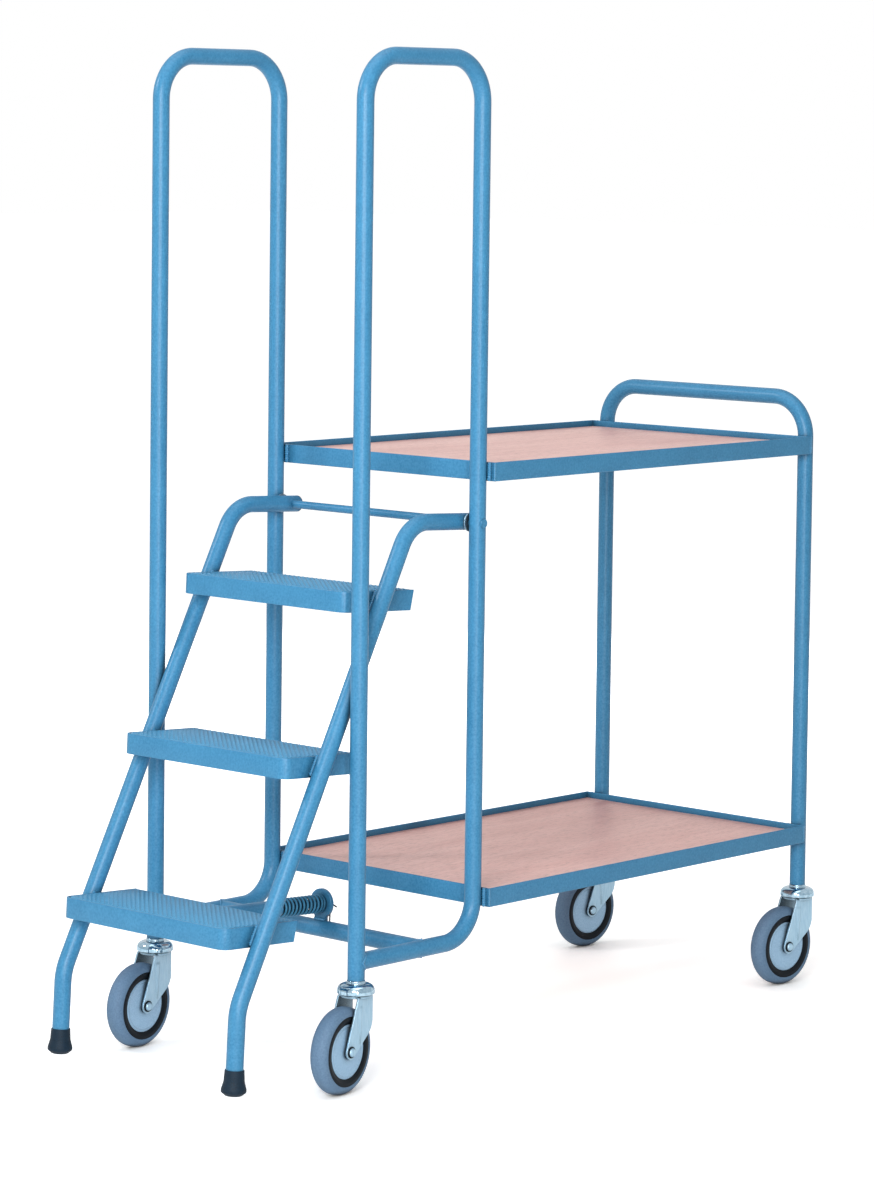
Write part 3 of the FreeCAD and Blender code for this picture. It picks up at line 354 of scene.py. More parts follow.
def bead(curve, outward, closed=False, radius=weld["radius"]):
    ahead = unit(np.roll(curve, -1, 0) - np.roll(curve, 1, 0) if closed else np.gradient(curve, axis=0))
    side = unit(np.cross(ahead, outward))
    out = np.cross(side, ahead)
    travel = np.concatenate([[0], np.cumsum(np.linalg.norm(np.diff(curve, axis=0), axis=1))])
    swell = 1 + weld["ripple"] * np.cos(2 * np.pi * travel / weld["pitch"])
    if not closed:  # rounded off at both ends
        share = np.abs(2 * travel / travel[-1] - 1)
        swell = swell * np.sqrt(np.clip(1 - share ** weld["blunt"], weld["tip"], 1))
    ring = ringOf(radius, weld["sides"])
    section = out[:, None] * ring[None, :, :1] + side[:, None] * ring[None, :, 1:]
    return curve[:, None] + swell[:, None, None] * section, closed, True


def straightSeam(start, end, outward, radius=weld["radius"]):
    count = int(np.linalg.norm(end - start) / weld["step"]) + 2
    curve = start + np.linspace(0, 1, count)[:, None] * (end - start)
    return bead(curve, np.broadcast_to(outward, curve.shape), radius=radius)


# Handrail hoops: front leg, top, rear leg and lower rail in one bent tube
hoop = {"bend": 0.064, "railBend": 0.060, "arc": 18, "sides": 40}
tubeRing = ringOf(tubeRadius, hoop["sides"])
for hand in ("right", "left"):
    x, y, legEnd = joints[f"front_{hand}_swivel"]["pos_m"]
    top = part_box(f"{hand}_hoop")[1].z - tubeRadius
    corners = [(x, y, legEnd), (x, y, top), (pivot[0], y, top), (pivot[0], y, railHeight), (x, y, railHeight)]
    path = roundedRun(corners, (hoop["bend"], hoop["bend"], hoop["railBend"]), pieces=hoop["arc"])
    addPiece(f"{hand}_hoop_tube", [carry(path, tubeRing, wayY)], f"{hand}_hoop")
    # Seam of rail on leg: both tubes alike, so the curve is (r |sin a|, r cos a, r sin a)
    outward = asPoints(np.abs(ringSin), 2 * ringCos, ringSin)  # between the two tubes' own
    seam = (x, y, railHeight) + tubeRadius * asPoints(np.abs(ringSin), ringCos, ringSin)
    frameSeams.append(bead(seam, outward, closed=True, radius=weld["ringRadius"]))
    # Seam of cross bar on rail: (r cos a, r |cos a|, r sin a) on the side that faces the bar
    facing = -math.copysign(1, y - pivot[1]) * np.abs(ringCos)
    outward = asPoints(ringCos, facing, 2 * ringSin)
    seam = (barX, y, railHeight) + tubeRadius * asPoints(ringCos, facing, ringSin)
    frameSeams.append(bead(seam, outward, closed=True, radius=weld["ringRadius"]))

# Push handle: an inverted U of the same tube
handle = {"bend": 0.062, "arc": 18}
low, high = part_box("push_handle")
handleX, handleTop = (low.x + high.x) / 2, high.z - tubeRadius
postY = (low.y + tubeRadius, high.y - tubeRadius)
corners = [(handleX, postY[0], low.z), (handleX, postY[0], handleTop), (handleX, postY[1], handleTop),
           (handleX, postY[1], low.z)]
path = roundedRun(corners, (handle["bend"],) * 2, pieces=handle["arc"])
addPiece("push_handle_tube", [carry(path, tubeRing, wayX)], "push_handle")

# Cross bar between the two lower rails
path = np.array([(barX, end.y, railHeight) for end in barBox])
addPiece("cross_bar_tube", [carry(path, tubeRing, wayX)], "cross_bar")
print("tubes done")

# Trays: rolled angle, round at its toes and root; each point slides along by its own inward distance, which
# mitres the ends
tray = {"leg": 0.028, "wall": 0.003, "toe": 0.0011, "innerToe": 0.00055, "heel": 0.0014, "root": 0.0026,
        "arc": 6}
leg, wall, toe = tray["leg"], tray["wall"], tray["toe"]
angleRing = roundedRun([(0, 0), (leg, 0), (leg, wall), (wall, wall), (wall, leg), (0, leg)],
                       (tray["heel"], tray["innerToe"], toe, tray["root"], toe, toe), closed=True,
                       pieces=tray["arc"])
traySides = {"right": (wayX, wayY), "left": (-wayX, -wayY), "front": (-wayY, wayX), "rear": (wayY, -wayX)}
for level in ("upper", "lower"):
    low = np.array(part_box(f"{level}_tray_front_angle")[0])
    high = np.array(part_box(f"{level}_tray_rear_angle")[1])
    for side, (along, inward) in traySides.items():
        start = (low + high) / 2 - inward * (np.abs(inward) @ (high - low) / 2)
        start[2] = low[2]
        halfLength = np.abs(along) @ (high - low) / 2
        reach = np.array([-1, 1])[:, None, None] * (halfLength - angleRing[None, :, :1])
        grid = start + reach * along + angleRing[None, :, :1] * inward + angleRing[None, :, 1:] * wayZ
        addPiece(f"{level}_tray_{side}_bar", [(grid, False, True)], f"{level}_tray_{side}_angle")
    # Beads up the mitred corners, and on both sides of each leg or post where it stands against the tray
    ends = ((low[0], -1), (high[0], 1))
    sunk, proud = weld["cornerRadius"] / 2, weld["legRadius"] / 2
    spots = [(x - outX * sunk, y - outY * sunk, outX, outY, weld["cornerRadius"])
             for x, outX in ends for y, outY in ((low[1], -1), (high[1], 1))]
    spots += [(x + outX * proud, y + outY * weld["legSet"], outX, outY, weld["legRadius"])
              for x, outX in ends for y in postY for outY in (-1, 1)]
    for x, y, outX, outY, radius in spots:
        spot = np.array((x, y, low[2]))
        frameSeams.append(straightSeam(spot, spot + leg * wayZ, (outX, outY, 0), radius))
print("trays done")

# Step stringers: upright foot, leaning run and level top end
stair = {"rise": 0.232, "going": 0.1055, "setback": 0.160, "steps": 3, "tail": 0.017, "topBend": 0.056,
         "kneeHeight": 0.120, "kneeBend": 0.080, "start": 0.0103, "arc": 16}
lean = stair["going"] / stair["rise"]


def stringerX(height):  # where the leaning run's axis is at a height, pressed down
    return pivot[0] - stair["setback"] - (stair["steps"] * stair["rise"] - height) * lean


kneeX = stringerX(stair["kneeHeight"])
stringerY = {}
for hand in ("right", "left"):
    low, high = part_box(f"{hand}_stringer")
    y = stringerY[hand] = (low.y + high.y) / 2
    corners = [(kneeX, y, stair["start"]), (kneeX, y, stair["kneeHeight"]),
               (stringerX(pivot[2]), y, pivot[2]), (pivot[0] + stair["tail"], y, pivot[2])]
    path = roundedRun(corners, (stair["kneeBend"], stair["topBend"]), pieces=stair["arc"])
    addPiece(f"{hand}_stringer_tube", [carry(path, tubeRing, wayY)], f"{hand}_stringer")

# Treads: a flat bar bent round the front and ends, a folded plate let into it, ribs pressed across the plate
tread = {"depth": 0.145, "overhang": 0.071, "skirt": 0.030, "corner": 0.015, "bar": 0.003, "plate": 0.0025,
         "slot": 0.0015, "groove": 0.0012, "edge": 0.0008, "fold": 0.003, "endCut": 0.006, "columns": 60,
         "plateRounds": (0.0005, 0.0008, 0.0005, 0.0005), "leadRound": 0.0018, "arc": 10, "edgeArc": 4}
rib = {"pitch": 0.0063, "height": 0.0009, "turn": math.radians(47), "margin": 0.0022, "perPitch": 9,
       "fade": 0.0012, "leastFades": 3, "sharp": 1.4, "sink": 0.0004}
treadHalf = stringerY["left"] - tubeRadius - fits["weld"] - pivot[1]
barHalf = tread["bar"] / 2
barRing = roundedRun([(-barHalf, -tread["skirt"]), (barHalf, -tread["skirt"]), (barHalf, 0), (-barHalf, 0)],
                     (tread["edge"],) * 4, closed=True, pieces=tread["edgeArc"])
innerBend = tread["corner"] - tread["bar"]


# Ribbed sheet: lines at the ribs' angle, each clipped to the plate's outline, whose height is a raised cosine
# across them
def ribbedSheet(front, back, half, top):
    centre = np.array(((front + back) / 2, pivot[1]))
    along = np.array((math.cos(rib["turn"]), math.sin(rib["turn"])))
    across = np.array((-along[1], along[0]))
    bevel = unit(np.array((-1.0, 1.0)))
    cutBack = innerBend * (math.sqrt(2) - 1)
    walls = [((1, 0), (back - front) / 2), ((-1, 0), (back - front) / 2), ((0, 1), half), ((0, -1), half)]
    for sign in (1, -1):
        walls.append((bevel * (1, sign), bevel @ ((front - back) / 2, half) - cutBack))
    reach = (back - front) / 2 + half
    s = np.arange(-reach, reach, rib["pitch"] / rib["perPitch"])
    first, last = np.full(s.shape, -reach), np.full(s.shape, reach)
    for normal, distance in walls:
        slope = np.dot(normal, along)
        limit = (distance - rib["margin"] - s * np.dot(normal, across)) / slope
        first, last = (first, np.minimum(last, limit)) if slope > 0 else (np.maximum(first, limit), last)
    whole = last - first > rib["leastFades"] * rib["fade"]
    s, first, last = s[whole], first[whole], last[whole]
    t = asPoints(first, first + rib["fade"], last - rib["fade"], last)
    flat = centre + s[:, None, None] * across + t[..., None] * along
    height = rib["height"] * (0.5 + 0.5 * np.cos(2 * np.pi * s / rib["pitch"])) ** rib["sharp"]
    z = top + height[:, None] * np.array((0, 1, 1, 0)) - rib["sink"] * np.array((1, 0, 0, 1))
    return np.concatenate([flat, z[..., None]], axis=-1), False, False


for number, name in enumerate(("lower", "middle", "upper"), start=1):
    top = number * stair["rise"]
    front = pivot[0] - stair["setback"] - (stair["steps"] - number) * stair["going"] - tread["overhang"]
    back = front + tread["depth"]
    lead, half = front + barHalf, treadHalf - barHalf
    corners = [(x, pivot[1] + side * half, top) for x, side in ((back, -1), (lead, -1), (lead, 1), (back, 1))]
    path = roundedRun(corners, (tread["corner"] - barHalf,) * 2, pieces=tread["arc"])
    grid = carry(path, barRing, wayZ)[0]
    grid[[0, -1], :, 0] -= np.clip(tread["endCut"] - tread["skirt"] - barRing[:, 1], 0, tread["endCut"])
    addPiece(f"{name}_tread_bar", [(grid, False, True)], f"{name}_tread_band")
    # Plate: the folded section, its front edge drawn back round the corners by r - sqrt(r2 - d2)
    lead, half = front + tread["bar"] + tread["groove"], treadHalf - tread["bar"] - tread["slot"]
    inner, thick, skirt = back - tread["plate"], tread["plate"], tread["skirt"]
    corners = [(lead, -thick), (inner, -thick), (inner, -skirt), (back, -skirt), (back, 0), (lead, 0)]
    rounds = (*tread["plateRounds"], tread["fold"], tread["leadRound"])
    section = roundedRun(corners, rounds, closed=True, pieces=tread["edgeArc"])
    y = half * np.sin(np.linspace(-np.pi / 2, np.pi / 2, tread["columns"]))
    past = np.clip(np.abs(y) - (half - innerBend), 0, innerBend)
    drawnBack = innerBend - np.sqrt(innerBend ** 2 - past ** 2)
    share = np.clip((inner - section[:, 0]) / (inner - lead), 0, 1)
    x = section[:, 0] + drawnBack[:, None] * share
    grid = asPoints(x, pivot[1] + y[:, None], top + section[:, 1])
    addPiece(f"{name}_tread_sheet", [(grid, False, True), ribbedSheet(lead, back - tread["fold"], half, top)],
             f"{name}_tread_plate", look="scuffed_powder_coat")
    # Beads on both sides of each stringer
    for outY in (-1, 1):
        seamY = pivot[1] + outY * (treadHalf + weld["radius"] / 2)
        for sideways in (-1, 1):
            square = unit(np.array((sideways, 0, -sideways * lean)))
            ends = [np.array((stringerX(height), seamY, height)) + square * weld["set"]
                    for height in (top - tread["skirt"], top)]
            stepSeams.append(straightSeam(*ends, square + (0, outY, 0)))
print("steps done")

# Rubber feet: flared ferrules with a rolled top edge
foot = {"gap": 0.0003, "height": 0.036, "base": 0.010, "topWall": 0.0014, "waistWall": 0.0024, "waist": 0.020,
        "flare": 0.018, "flareHeight": 0.009, "flareBand": 0.004, "sole": 0.012, "arc": 5,
        "rounds": (0.0015, 0.0015, 0.0012, 0.004, 0.0006, 0.0004, 0.0005)}
socket = tubeRadius + fits["clear"]
corners = [(0, 0), (0, foot["sole"]), (foot["flareHeight"] - foot["flareBand"], foot["flare"]),
           (foot["flareHeight"], foot["flare"]), (foot["waist"], tubeRadius + foot["waistWall"]),
           (foot["height"], tubeRadius + foot["topWall"]), (foot["height"], socket), (foot["base"], socket),
           (foot["base"], 0)]
profile = roundedRun(corners, foot["rounds"], pieces=foot["arc"])
for hand, y in stringerY.items():
    addPiece(f"{hand}_foot_ferrule", [turned(profile, (kneeX, y, foot["gap"]), wayZ)], f"{hand}_foot")

# Step pivot: a plain rod, washers at the stringers, domed caps on its ends
rod = {"radius": 0.006, "washer": 0.014, "washerEdge": 0.0004, "cap": 0.0067, "capRound": 0.0003,
       "capSkirt": 0.002, "capArc": 6}
start, end = (corner.y - pivot[1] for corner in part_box("pivot_rod"))
profile = [(start, 0), (start, rod["radius"]), (end, rod["radius"]), (end, 0)]
addPiece("pivot_rod_bar", [turned(profile, pivot, wayY)], "pivot_rod")
start = stringerY["left"] + tubeRadius + fits["weld"] - pivot[1]
end = postY[1] - tubeRadius - fits["weld"] - pivot[1]
ring = washerProfile(start, end, rod["radius"] + fits["clear"], rod["washer"], rod["washerEdge"])
addPiece("pivot_washer_pair", [turned(ring, pivot, hand * wayY, closed=True) for hand in (1, -1)],
         "pivot_washers", look="zinc_plate", slot="zinc_plate")
start = postY[1] + tubeRadius - rod["capSkirt"] - pivot[1]  # reaches round the tube's curve
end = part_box("pivot_caps")[1].y - pivot[1]
dome = roundedRun([(start, 0), (start, rod["cap"]), (end, rod["cap"]), (end, 0)],
                  (rod["washerEdge"], rod["capRound"]), pieces=rod["capArc"])
addPiece("pivot_cap_pair", [turned(dome, pivot, hand * wayY) for hand in (1, -1)], "pivot_caps")

# Plugs in the stringers' upper ends
plug = {"head": 0.002, "spigot": 0.008, "wall": 0.0015, "rounds": (0.0004, 0.0003, 0.0003, 0.0012), "arc": 4}
bore = tubeRadius - plug["wall"]
profile = roundedRun([(-plug["spigot"], 0), (-plug["spigot"], bore), (0, bore), (0, tubeRadius),
                      (plug["head"], tubeRadius), (plug["head"], 0)], plug["rounds"], pieces=plug["arc"])
addPiece("stringer_plug_pair", [turned(profile, (pivot[0] + stair["tail"], y, pivot[2]), wayX)
                                for y in stringerY.values()], "stringer_plugs")

# Spring guide: sleeve and rod behind the lower tread, spring, slotted lug, stop washer and split pin
guide = {"drop": 0.0175, "setback": 0.006, "sleeve": 0.0125, "rod": 0.006, "lug": 0.006, "gap": 0.0002,
         "spring": 0.090, "washer": 0.015, "washerThick": 0.0025, "pin": 0.0032, "tail": 0.008,
         "edge": 0.0005, "core": 0.0092, "coreLength": 0.0565, "sides": 40, "arc": 4,
         "rodRounds": (0.0002, 0.0004, 0.0004, 0.0012, 0.0004, 0.0012)}
guideAxis = np.array((0, pivot[1], stair["rise"] - guide["drop"]))
fall = pivot[2] - guideAxis[2]
lugX = pivot[0] - (pivot[0] - barX - guide["setback"] - fall * math.sin(lift)) / math.cos(lift)
springStart = lugX - guide["lug"] / 2 - guide["gap"] - guide["spring"]
lowestFront = pivot[0] - stair["setback"] - (stair["steps"] - 1) * stair["going"] - tread["overhang"]
sleeveStart = lowestFront + tread["depth"] + fits["weld"]
washerStart = lugX + guide["lug"] / 2 + fits["weld"]
washerEnd = washerStart + guide["washerThick"]
pinX = washerEnd + guide["pin"] / 2 + fits["weld"]
coreEnd, rodEnd = springStart + guide["coreLength"], pinX + guide["tail"]


def onGuide(name, profile, like, closed=False, look=None):
    addPiece(name, [turned(profile, guideAxis, wayX, guide["sides"], closed)], like, look=look)


sleeve = washerProfile(sleeveStart, springStart - guide["gap"], guide["rod"], guide["sleeve"], guide["edge"])
onGuide("guide_sleeve_tube", sleeve, "guide_sleeve", closed=True)
ring = washerProfile(washerStart, washerEnd, guide["rod"], guide["washer"], guide["edge"])
onGuide("stop_washer_ring", ring, "stop_washer", closed=True)
thin, core = guide["rod"], guide["core"]
corners = [(sleeveStart, 0), (sleeveStart, thin), (springStart, thin), (springStart, core), (coreEnd, core),
           (coreEnd, thin), (rodEnd, thin), (rodEnd, 0)]
onGuide("guide_rod_bar", roundedRun(corners, guide["rodRounds"], pieces=guide["arc"]), "guide_rod",
        look="oiled_steel")
seam = guideAxis + sleeveStart * wayX + guide["sleeve"] * asPoints(0, ringCos, ringSin)
stepSeams.append(bead(seam, asPoints(1, ringCos, ringSin), closed=True))

# Spring: a wire round the helix (travel, r sin a, r cos a), its travel slower in the closed turn at each end
coil = {"wire": 0.004, "radius": 0.012, "turns": 12, "endGap": 0.0008, "perTurn": 44, "sides": 14}
turn = np.linspace(0, coil["turns"], coil["turns"] * coil["perTurn"] + 1)
closedPitch = coil["wire"] + coil["endGap"]
pitch = (guide["spring"] - coil["wire"] - 2 * closedPitch) / (coil["turns"] - 2)
travel = coil["wire"] / 2 + closedPitch * (np.clip(turn, 0, 1) + np.clip(turn - coil["turns"] + 1, 0, 1))
travel = travel + pitch * np.clip(turn - 1, 0, coil["turns"] - 2)
spoke = asPoints(0, np.sin(2 * np.pi * turn), np.cos(2 * np.pi * turn))
line = guideAxis + springStart * wayX + coil["radius"] * spoke + travel[:, None] * wayX
wireSide = np.cross(unit(np.gradient(line, axis=0)), spoke)
wire = ringOf(coil["wire"] / 2, coil["sides"])
grid = line[:, None] + spoke[:, None] * wire[None, :, :1] + wireSide[:, None] * wire[None, :, 1:]
spring = addPiece("step_spring_coil", [(grid, False, True)], "step_spring")
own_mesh(spring)

# Lug: outer edge = the larger of the head's circle and the neck, slot = two half circles and straight sides,
# both as a distance from the head's centre at each angle; the section goes round from slot to edge and back
lug = {"head": 0.022, "neck": 0.0112, "slot": 0.007, "edge": 0.0006, "points": 240, "sink": 0.0016,
       "least": 1e-9}
c, s = ringOf(1, lug["points"]).T
steep, flat = np.maximum(np.abs(s), lug["least"]), np.maximum(np.abs(c), lug["least"])
reach = (pivot[0] - lugX + fall * math.sin(lift)) / math.cos(lift)
slotDrop = fall * (math.cos(lift) - 1) + reach * math.sin(lift)
lugCentre = guideAxis + lugX * wayX
barTop = railHeight + math.sqrt(tubeRadius ** 2 - guide["setback"] ** 2)
neckLength = raised(lugCentre)[2] - barTop + lug["sink"]
neck = np.where(s < 0, np.minimum(lug["neck"] / flat, neckLength / steep), 0)
outerEdge = np.maximum(lug["head"], neck)
bottom = steep * slotDrop + np.sqrt(np.clip(lug["slot"] ** 2 - (slotDrop * c) ** 2, 0, None))
straight = np.where(lug["slot"] * steep / flat < slotDrop, lug["slot"] / flat, bottom)
slotEdge = np.where(s < 0, straight, lug["slot"])
half, edge = guide["lug"] / 2, lug["edge"]
share = np.array((0, 0, 0, 1, 1, 1, 1, 0))
inset = edge * np.array((0, 0, 1, -1, 0, 0, -1, 1))
depth = np.array((edge - half, half - edge, half, half, half - edge, edge - half, -half, -half))
radius = slotEdge[:, None] + share * (outerEdge - slotEdge)[:, None] + inset
grid = asPoints(depth, radius * c[:, None], radius * s[:, None])
addPiece("spring_lug_plate", [(raised(lugCentre + grid), True, True)], "spring_lug")
for side in (-1, 1):  # welded to the cross bar on both faces
    off = guide["setback"] + side * (half + weld["radius"] / 2)
    spot = np.array((barX + off, pivot[1], railHeight + math.sqrt(tubeRadius ** 2 - off ** 2)))
    reach = lug["neck"] * wayY
    frameSeams.append(straightSeam(spot - reach, spot + reach, (side, 0, 1)))

# Split pin: one wire across the rod, round the eye and back, its second leg bent down
pin = {"wire": 0.0011, "apart": 0.0009, "tip": (-0.0236, -0.0030), "spread": -0.0125, "eyeFoot": 0.0135,
       "eyeSide": 0.0042, "eyeMiddle": 0.0176, "eyeTop": 0.0215, "bend": -0.0108, "drop": -0.0276,
       "sides": 12, "bends": (0.004, 0.003, 0.0028, 0.0022, 0.0028, 0.003, 0.0016), "arc": 8}
turns = [pin["tip"], (pin["spread"], pin["apart"]), (pin["eyeFoot"], pin["apart"]),
         (pin["eyeMiddle"], pin["eyeSide"]), (pin["eyeTop"], 0), (pin["eyeMiddle"], -pin["eyeSide"]),
         (pin["eyeFoot"], -pin["apart"]), (pin["bend"], -pin["apart"]), (pin["bend"], pin["drop"])]
route = roundedRun(turns, pin["bends"], pieces=pin["arc"])
route = guideAxis + asPoints(pinX, *route.T)
addPiece("split_pin_wire", [carry(route, ringOf(pin["wire"], pin["sides"]), wayX)], "split_pin",
         look="oiled_steel")
addPiece("frame_welds", frameSeams, "right_hoop", replaces=False, look="weld_powder_coat")
addPiece("step_welds", stepSeams, "right_stringer", replaces=False, look="weld_powder_coat")
print("spring and welds done")

# Castor forks: a strip folded over the wheel, with a tapered rib pressed in each leg and a round pan on top
fork = {"half": 0.0188, "thick": 0.003, "front": 0.016, "back": 0.019, "bend": 0.005, "heel": 0.090,
        "heelRound": 0.028, "heelArc": 24, "end": 0.011, "endPoints": 40, "edge": 0.0007, "rows": 70,
        "columns": 64, "bendRows": 8, "ribPlace": 0.016, "ribTop": 0.124, "ribBottom": 0.070,
        "ribWidth": 0.011, "ribTip": 0.003, "ribHeight": 0.0011, "ribSide": 0.0016}


# Leg edges in side view: rear line, round end at the axle, sloping line up to the heel's bend, front line;
# a line from a spot touches the round end acos(r / distance) off the way to that spot
def forkEdges(trail, axleHeight, top):
    centre = np.array((-trail, axleHeight))
    shoulder, heel = (-fork["back"], top), (fork["front"], fork["heel"])

    def roundEnd(spot, side, lowest):  # from where the spot's line touches to the lowest point
        reach = spot - centre
        touch = math.atan2(reach[1], reach[0]) + side * math.acos(fork["end"] / np.linalg.norm(reach))
        angle = np.linspace(touch, lowest, fork["endPoints"])
        return centre + fork["end"] * asPoints(np.cos(angle), np.sin(angle))

    behind, below = roundEnd(shoulder, 1, 3 * math.pi / 2), roundEnd(heel, -1, -math.pi / 2)
    slope = roundedRun([(fork["front"], top), heel, below[0]], (fork["heelRound"],), pieces=fork["heelArc"])
    return np.concatenate([[shoulder], behind]), np.concatenate([slope, below])


# Strip folded over the wheel: row = a place on the fold's middle line, column = a place round the section;
# a point is (edge to edge across, fold line + normal * half thickness), lifted on the rib by a smooth step
def foldedFork(trail, axleHeight, top):
    rear, front = forkEdges(trail, axleHeight, top)
    edge, out = fork["edge"], fork["thick"] / 2
    mid, bend = fork["half"] - out, fork["bend"] - out
    lowest, legTop = axleHeight - fork["end"], top - out - bend
    leg = lowest + (legTop - lowest) * (1 - np.cos(np.linspace(0, np.pi / 2, fork["rows"])))
    angle = np.linspace(0, np.pi / 2, fork["bendRows"])[1:]
    turnedIn = asPoints(-np.cos(angle), np.sin(angle))
    line = np.concatenate([asPoints(-mid, leg), (bend - mid, legTop) + bend * turnedIn])
    square = np.concatenate([asPoints(-1, 0 * leg), turnedIn])
    line, square = (np.concatenate([half, half[::-1] * (-1, 1)]) for half in (line, square))
    height = np.clip(line[:, 1:], lowest, top)
    first = np.interp(height, rear[::-1, 1], rear[::-1, 0])
    last = np.interp(height, front[::-1, 1], front[::-1, 0])
    face = np.linspace(0, 1, fork["columns"])
    bow = np.radians((60, 30, 0, 0, -30, -60))  # round each edge of the strip
    side = np.array((1, 1, 1, -1, -1, -1))
    share = np.concatenate([face, 0 * bow + 1, [1, 0], 0 * bow])
    inset = np.concatenate([edge - 2 * edge * face, edge * np.cos(bow) - edge, [-edge, edge],
                            edge - edge * np.cos(bow)])
    depth = np.concatenate([0 * face + out, side * (out - edge) + edge * np.sin(bow), [-out, -out],
                            side[::-1] * (out - edge) + edge * np.sin(bow[::-1])])
    across = first + share * (last - first) + inset * np.clip((last - first) / (2 * edge), 0, 1)
    level = np.clip((height - fork["ribBottom"]) / (fork["ribTop"] - fork["ribBottom"]), 0, 1)
    ribHalf = (fork["ribTip"] + (fork["ribWidth"] - fork["ribTip"]) * level) / 2
    inside = np.minimum(ribHalf - np.abs(across + fork["ribPlace"]), height - fork["ribBottom"])
    inside = np.minimum(inside, fork["ribTop"] - height)
    flank = np.clip(inside / fork["ribSide"], 0, 1)
    pressed = fork["ribHeight"] * flank ** 2 * (3 - 2 * flank)
    reach = depth + pressed * (depth > out - edge / 2)
    fold = line[:, None] + square[:, None] * reach[..., None]
    return np.concatenate([across[..., None], fold], axis=-1)


# Wheels: a moulded hub with a grey tyre, and a dished disc let into each side
wheel = {"radius": 0.0625, "width": 0.0284, "crown": 0.0122, "tyreRoot": 0.000075, "tyreArc": 14,
         "rim": 0.050, "rimWidth": 0.028, "recess": 0.002, "lip": 0.005, "web": 0.012, "boss": 0.010,
         "edge": 0.0006, "arc": 3, "sides": 80}
cover = {"radius": 0.039, "thick": 0.0012, "dish": 0.002, "rings": 46, "beadPlace": 0.0368, "bead": 0.0009,
         "beadWidth": 0.0013}


def hubProfile():  # boss, web, ledge for the cover and black rim face, the same on both sides
    rimFace, inner = wheel["rimWidth"] / 2, cover["radius"] + fits["clear"]
    ledge = rimFace - wheel["recess"]
    seat = ledge - cover["thick"] - fits["weld"]
    bossEnd = fork["half"] - fork["thick"] - fits["running"]
    half = [(bossEnd, axle["radius"] + axle["sleeveWall"] + 2 * fits["clear"]), (bossEnd, wheel["boss"]),
            (wheel["web"] / 2, wheel["boss"]), (wheel["web"] / 2, inner - wheel["lip"]),
            (seat, inner - wheel["lip"]), (seat, inner), (ledge, inner),
            (rimFace, wheel["rim"] - wheel["lip"]), (rimFace, wheel["rim"])]
    both = half + [(-along, radius) for along, radius in reversed(half)]
    return roundedRun(both, (wheel["edge"],) * len(both), closed=True, pieces=wheel["arc"])


def tyreProfile():
    half, rim = wheel["width"] / 2, wheel["rim"] + fits["weld"]
    return roundedRun([(-half, rim), (half, rim), (half, wheel["radius"]), (-half, wheel["radius"])],
                      (wheel["tyreRoot"], wheel["tyreRoot"], wheel["crown"], wheel["crown"]), closed=True,
                      pieces=wheel["tyreArc"])


def coverProfile():  # a straight rise to the middle and a rolled bead near the rim
    radius = np.linspace(wheel["boss"] + fits["running"], cover["radius"], cover["rings"])
    share = (cover["radius"] - radius) / (cover["radius"] - radius[0])
    rolled = cover["bead"] * np.exp(-((radius - cover["beadPlace"]) / cover["beadWidth"]) ** 2)
    face = wheel["rimWidth"] / 2 - wheel["recess"] + cover["dish"] * share + rolled
    return np.concatenate([asPoints(face, radius), asPoints(face - rolled - cover["thick"], radius)[::-1]])


# Axles: a bolt with a domed head on a black seal, a sleeve through the hub and a hexagon nut
axle = {"radius": 0.004, "head": 0.0065, "headHeight": 0.0042, "headRound": 0.0030, "headRoot": 0.0003,
        "headArc": 8, "nut": 0.0065, "nutAcross": 0.013, "nutCut": 1.02, "nutCone": math.radians(30),
        "nutPoints": 72, "threadEnd": 0.003, "threadPitch": 0.00125, "threadDepth": 0.00045,
        "sleeveWall": 0.0025, "seal": 0.0014, "sealRadius": 0.0082, "sealRound": 0.00035, "sides": 40}


# Hexagon nut: radius = flats / cos(angle off the nearest flat), its corners cut back by a cone
def nutGrid(start):
    angle = fullTurn(axle["nutPoints"])
    flat = axle["nutAcross"] / 2
    corner = flat / np.cos((angle + np.pi / 6) % (np.pi / 3) - np.pi / 6)
    cut = np.minimum(corner, flat * axle["nutCut"])
    slope = (corner - cut) * math.tan(axle["nutCone"])
    bore, end = axle["radius"], start + axle["nut"]
    radius = asPoints(bore, cut, corner, corner, cut, bore)
    along = asPoints(start, start, start + slope, end - slope, end, end)
    return asPoints(radius * np.cos(angle)[:, None], along, radius * np.sin(angle)[:, None])


def boltProfile(under):  # domed head, shank and the ridged end of the thread beyond the nut
    tip = -under + axle["nut"] + axle["threadEnd"]
    crown, root = under - axle["headHeight"], axle["radius"] - axle["threadDepth"]
    head = roundedRun([(crown, 0), (crown, axle["head"]), (under, axle["head"]), (under, axle["radius"])],
                      (axle["headRound"], axle["headRoot"]), pieces=axle["headArc"])
    thread = np.arange(tip - axle["threadEnd"], tip, axle["threadPitch"] / 2)[:-1]
    ridge = axle["radius"] - axle["threadDepth"] * (np.arange(len(thread)) % 2)
    end = [(tip - axle["threadPitch"] / 2, axle["radius"]), (tip, root), (tip, 0)]
    return np.concatenate([head, asPoints(thread, ridge), end])


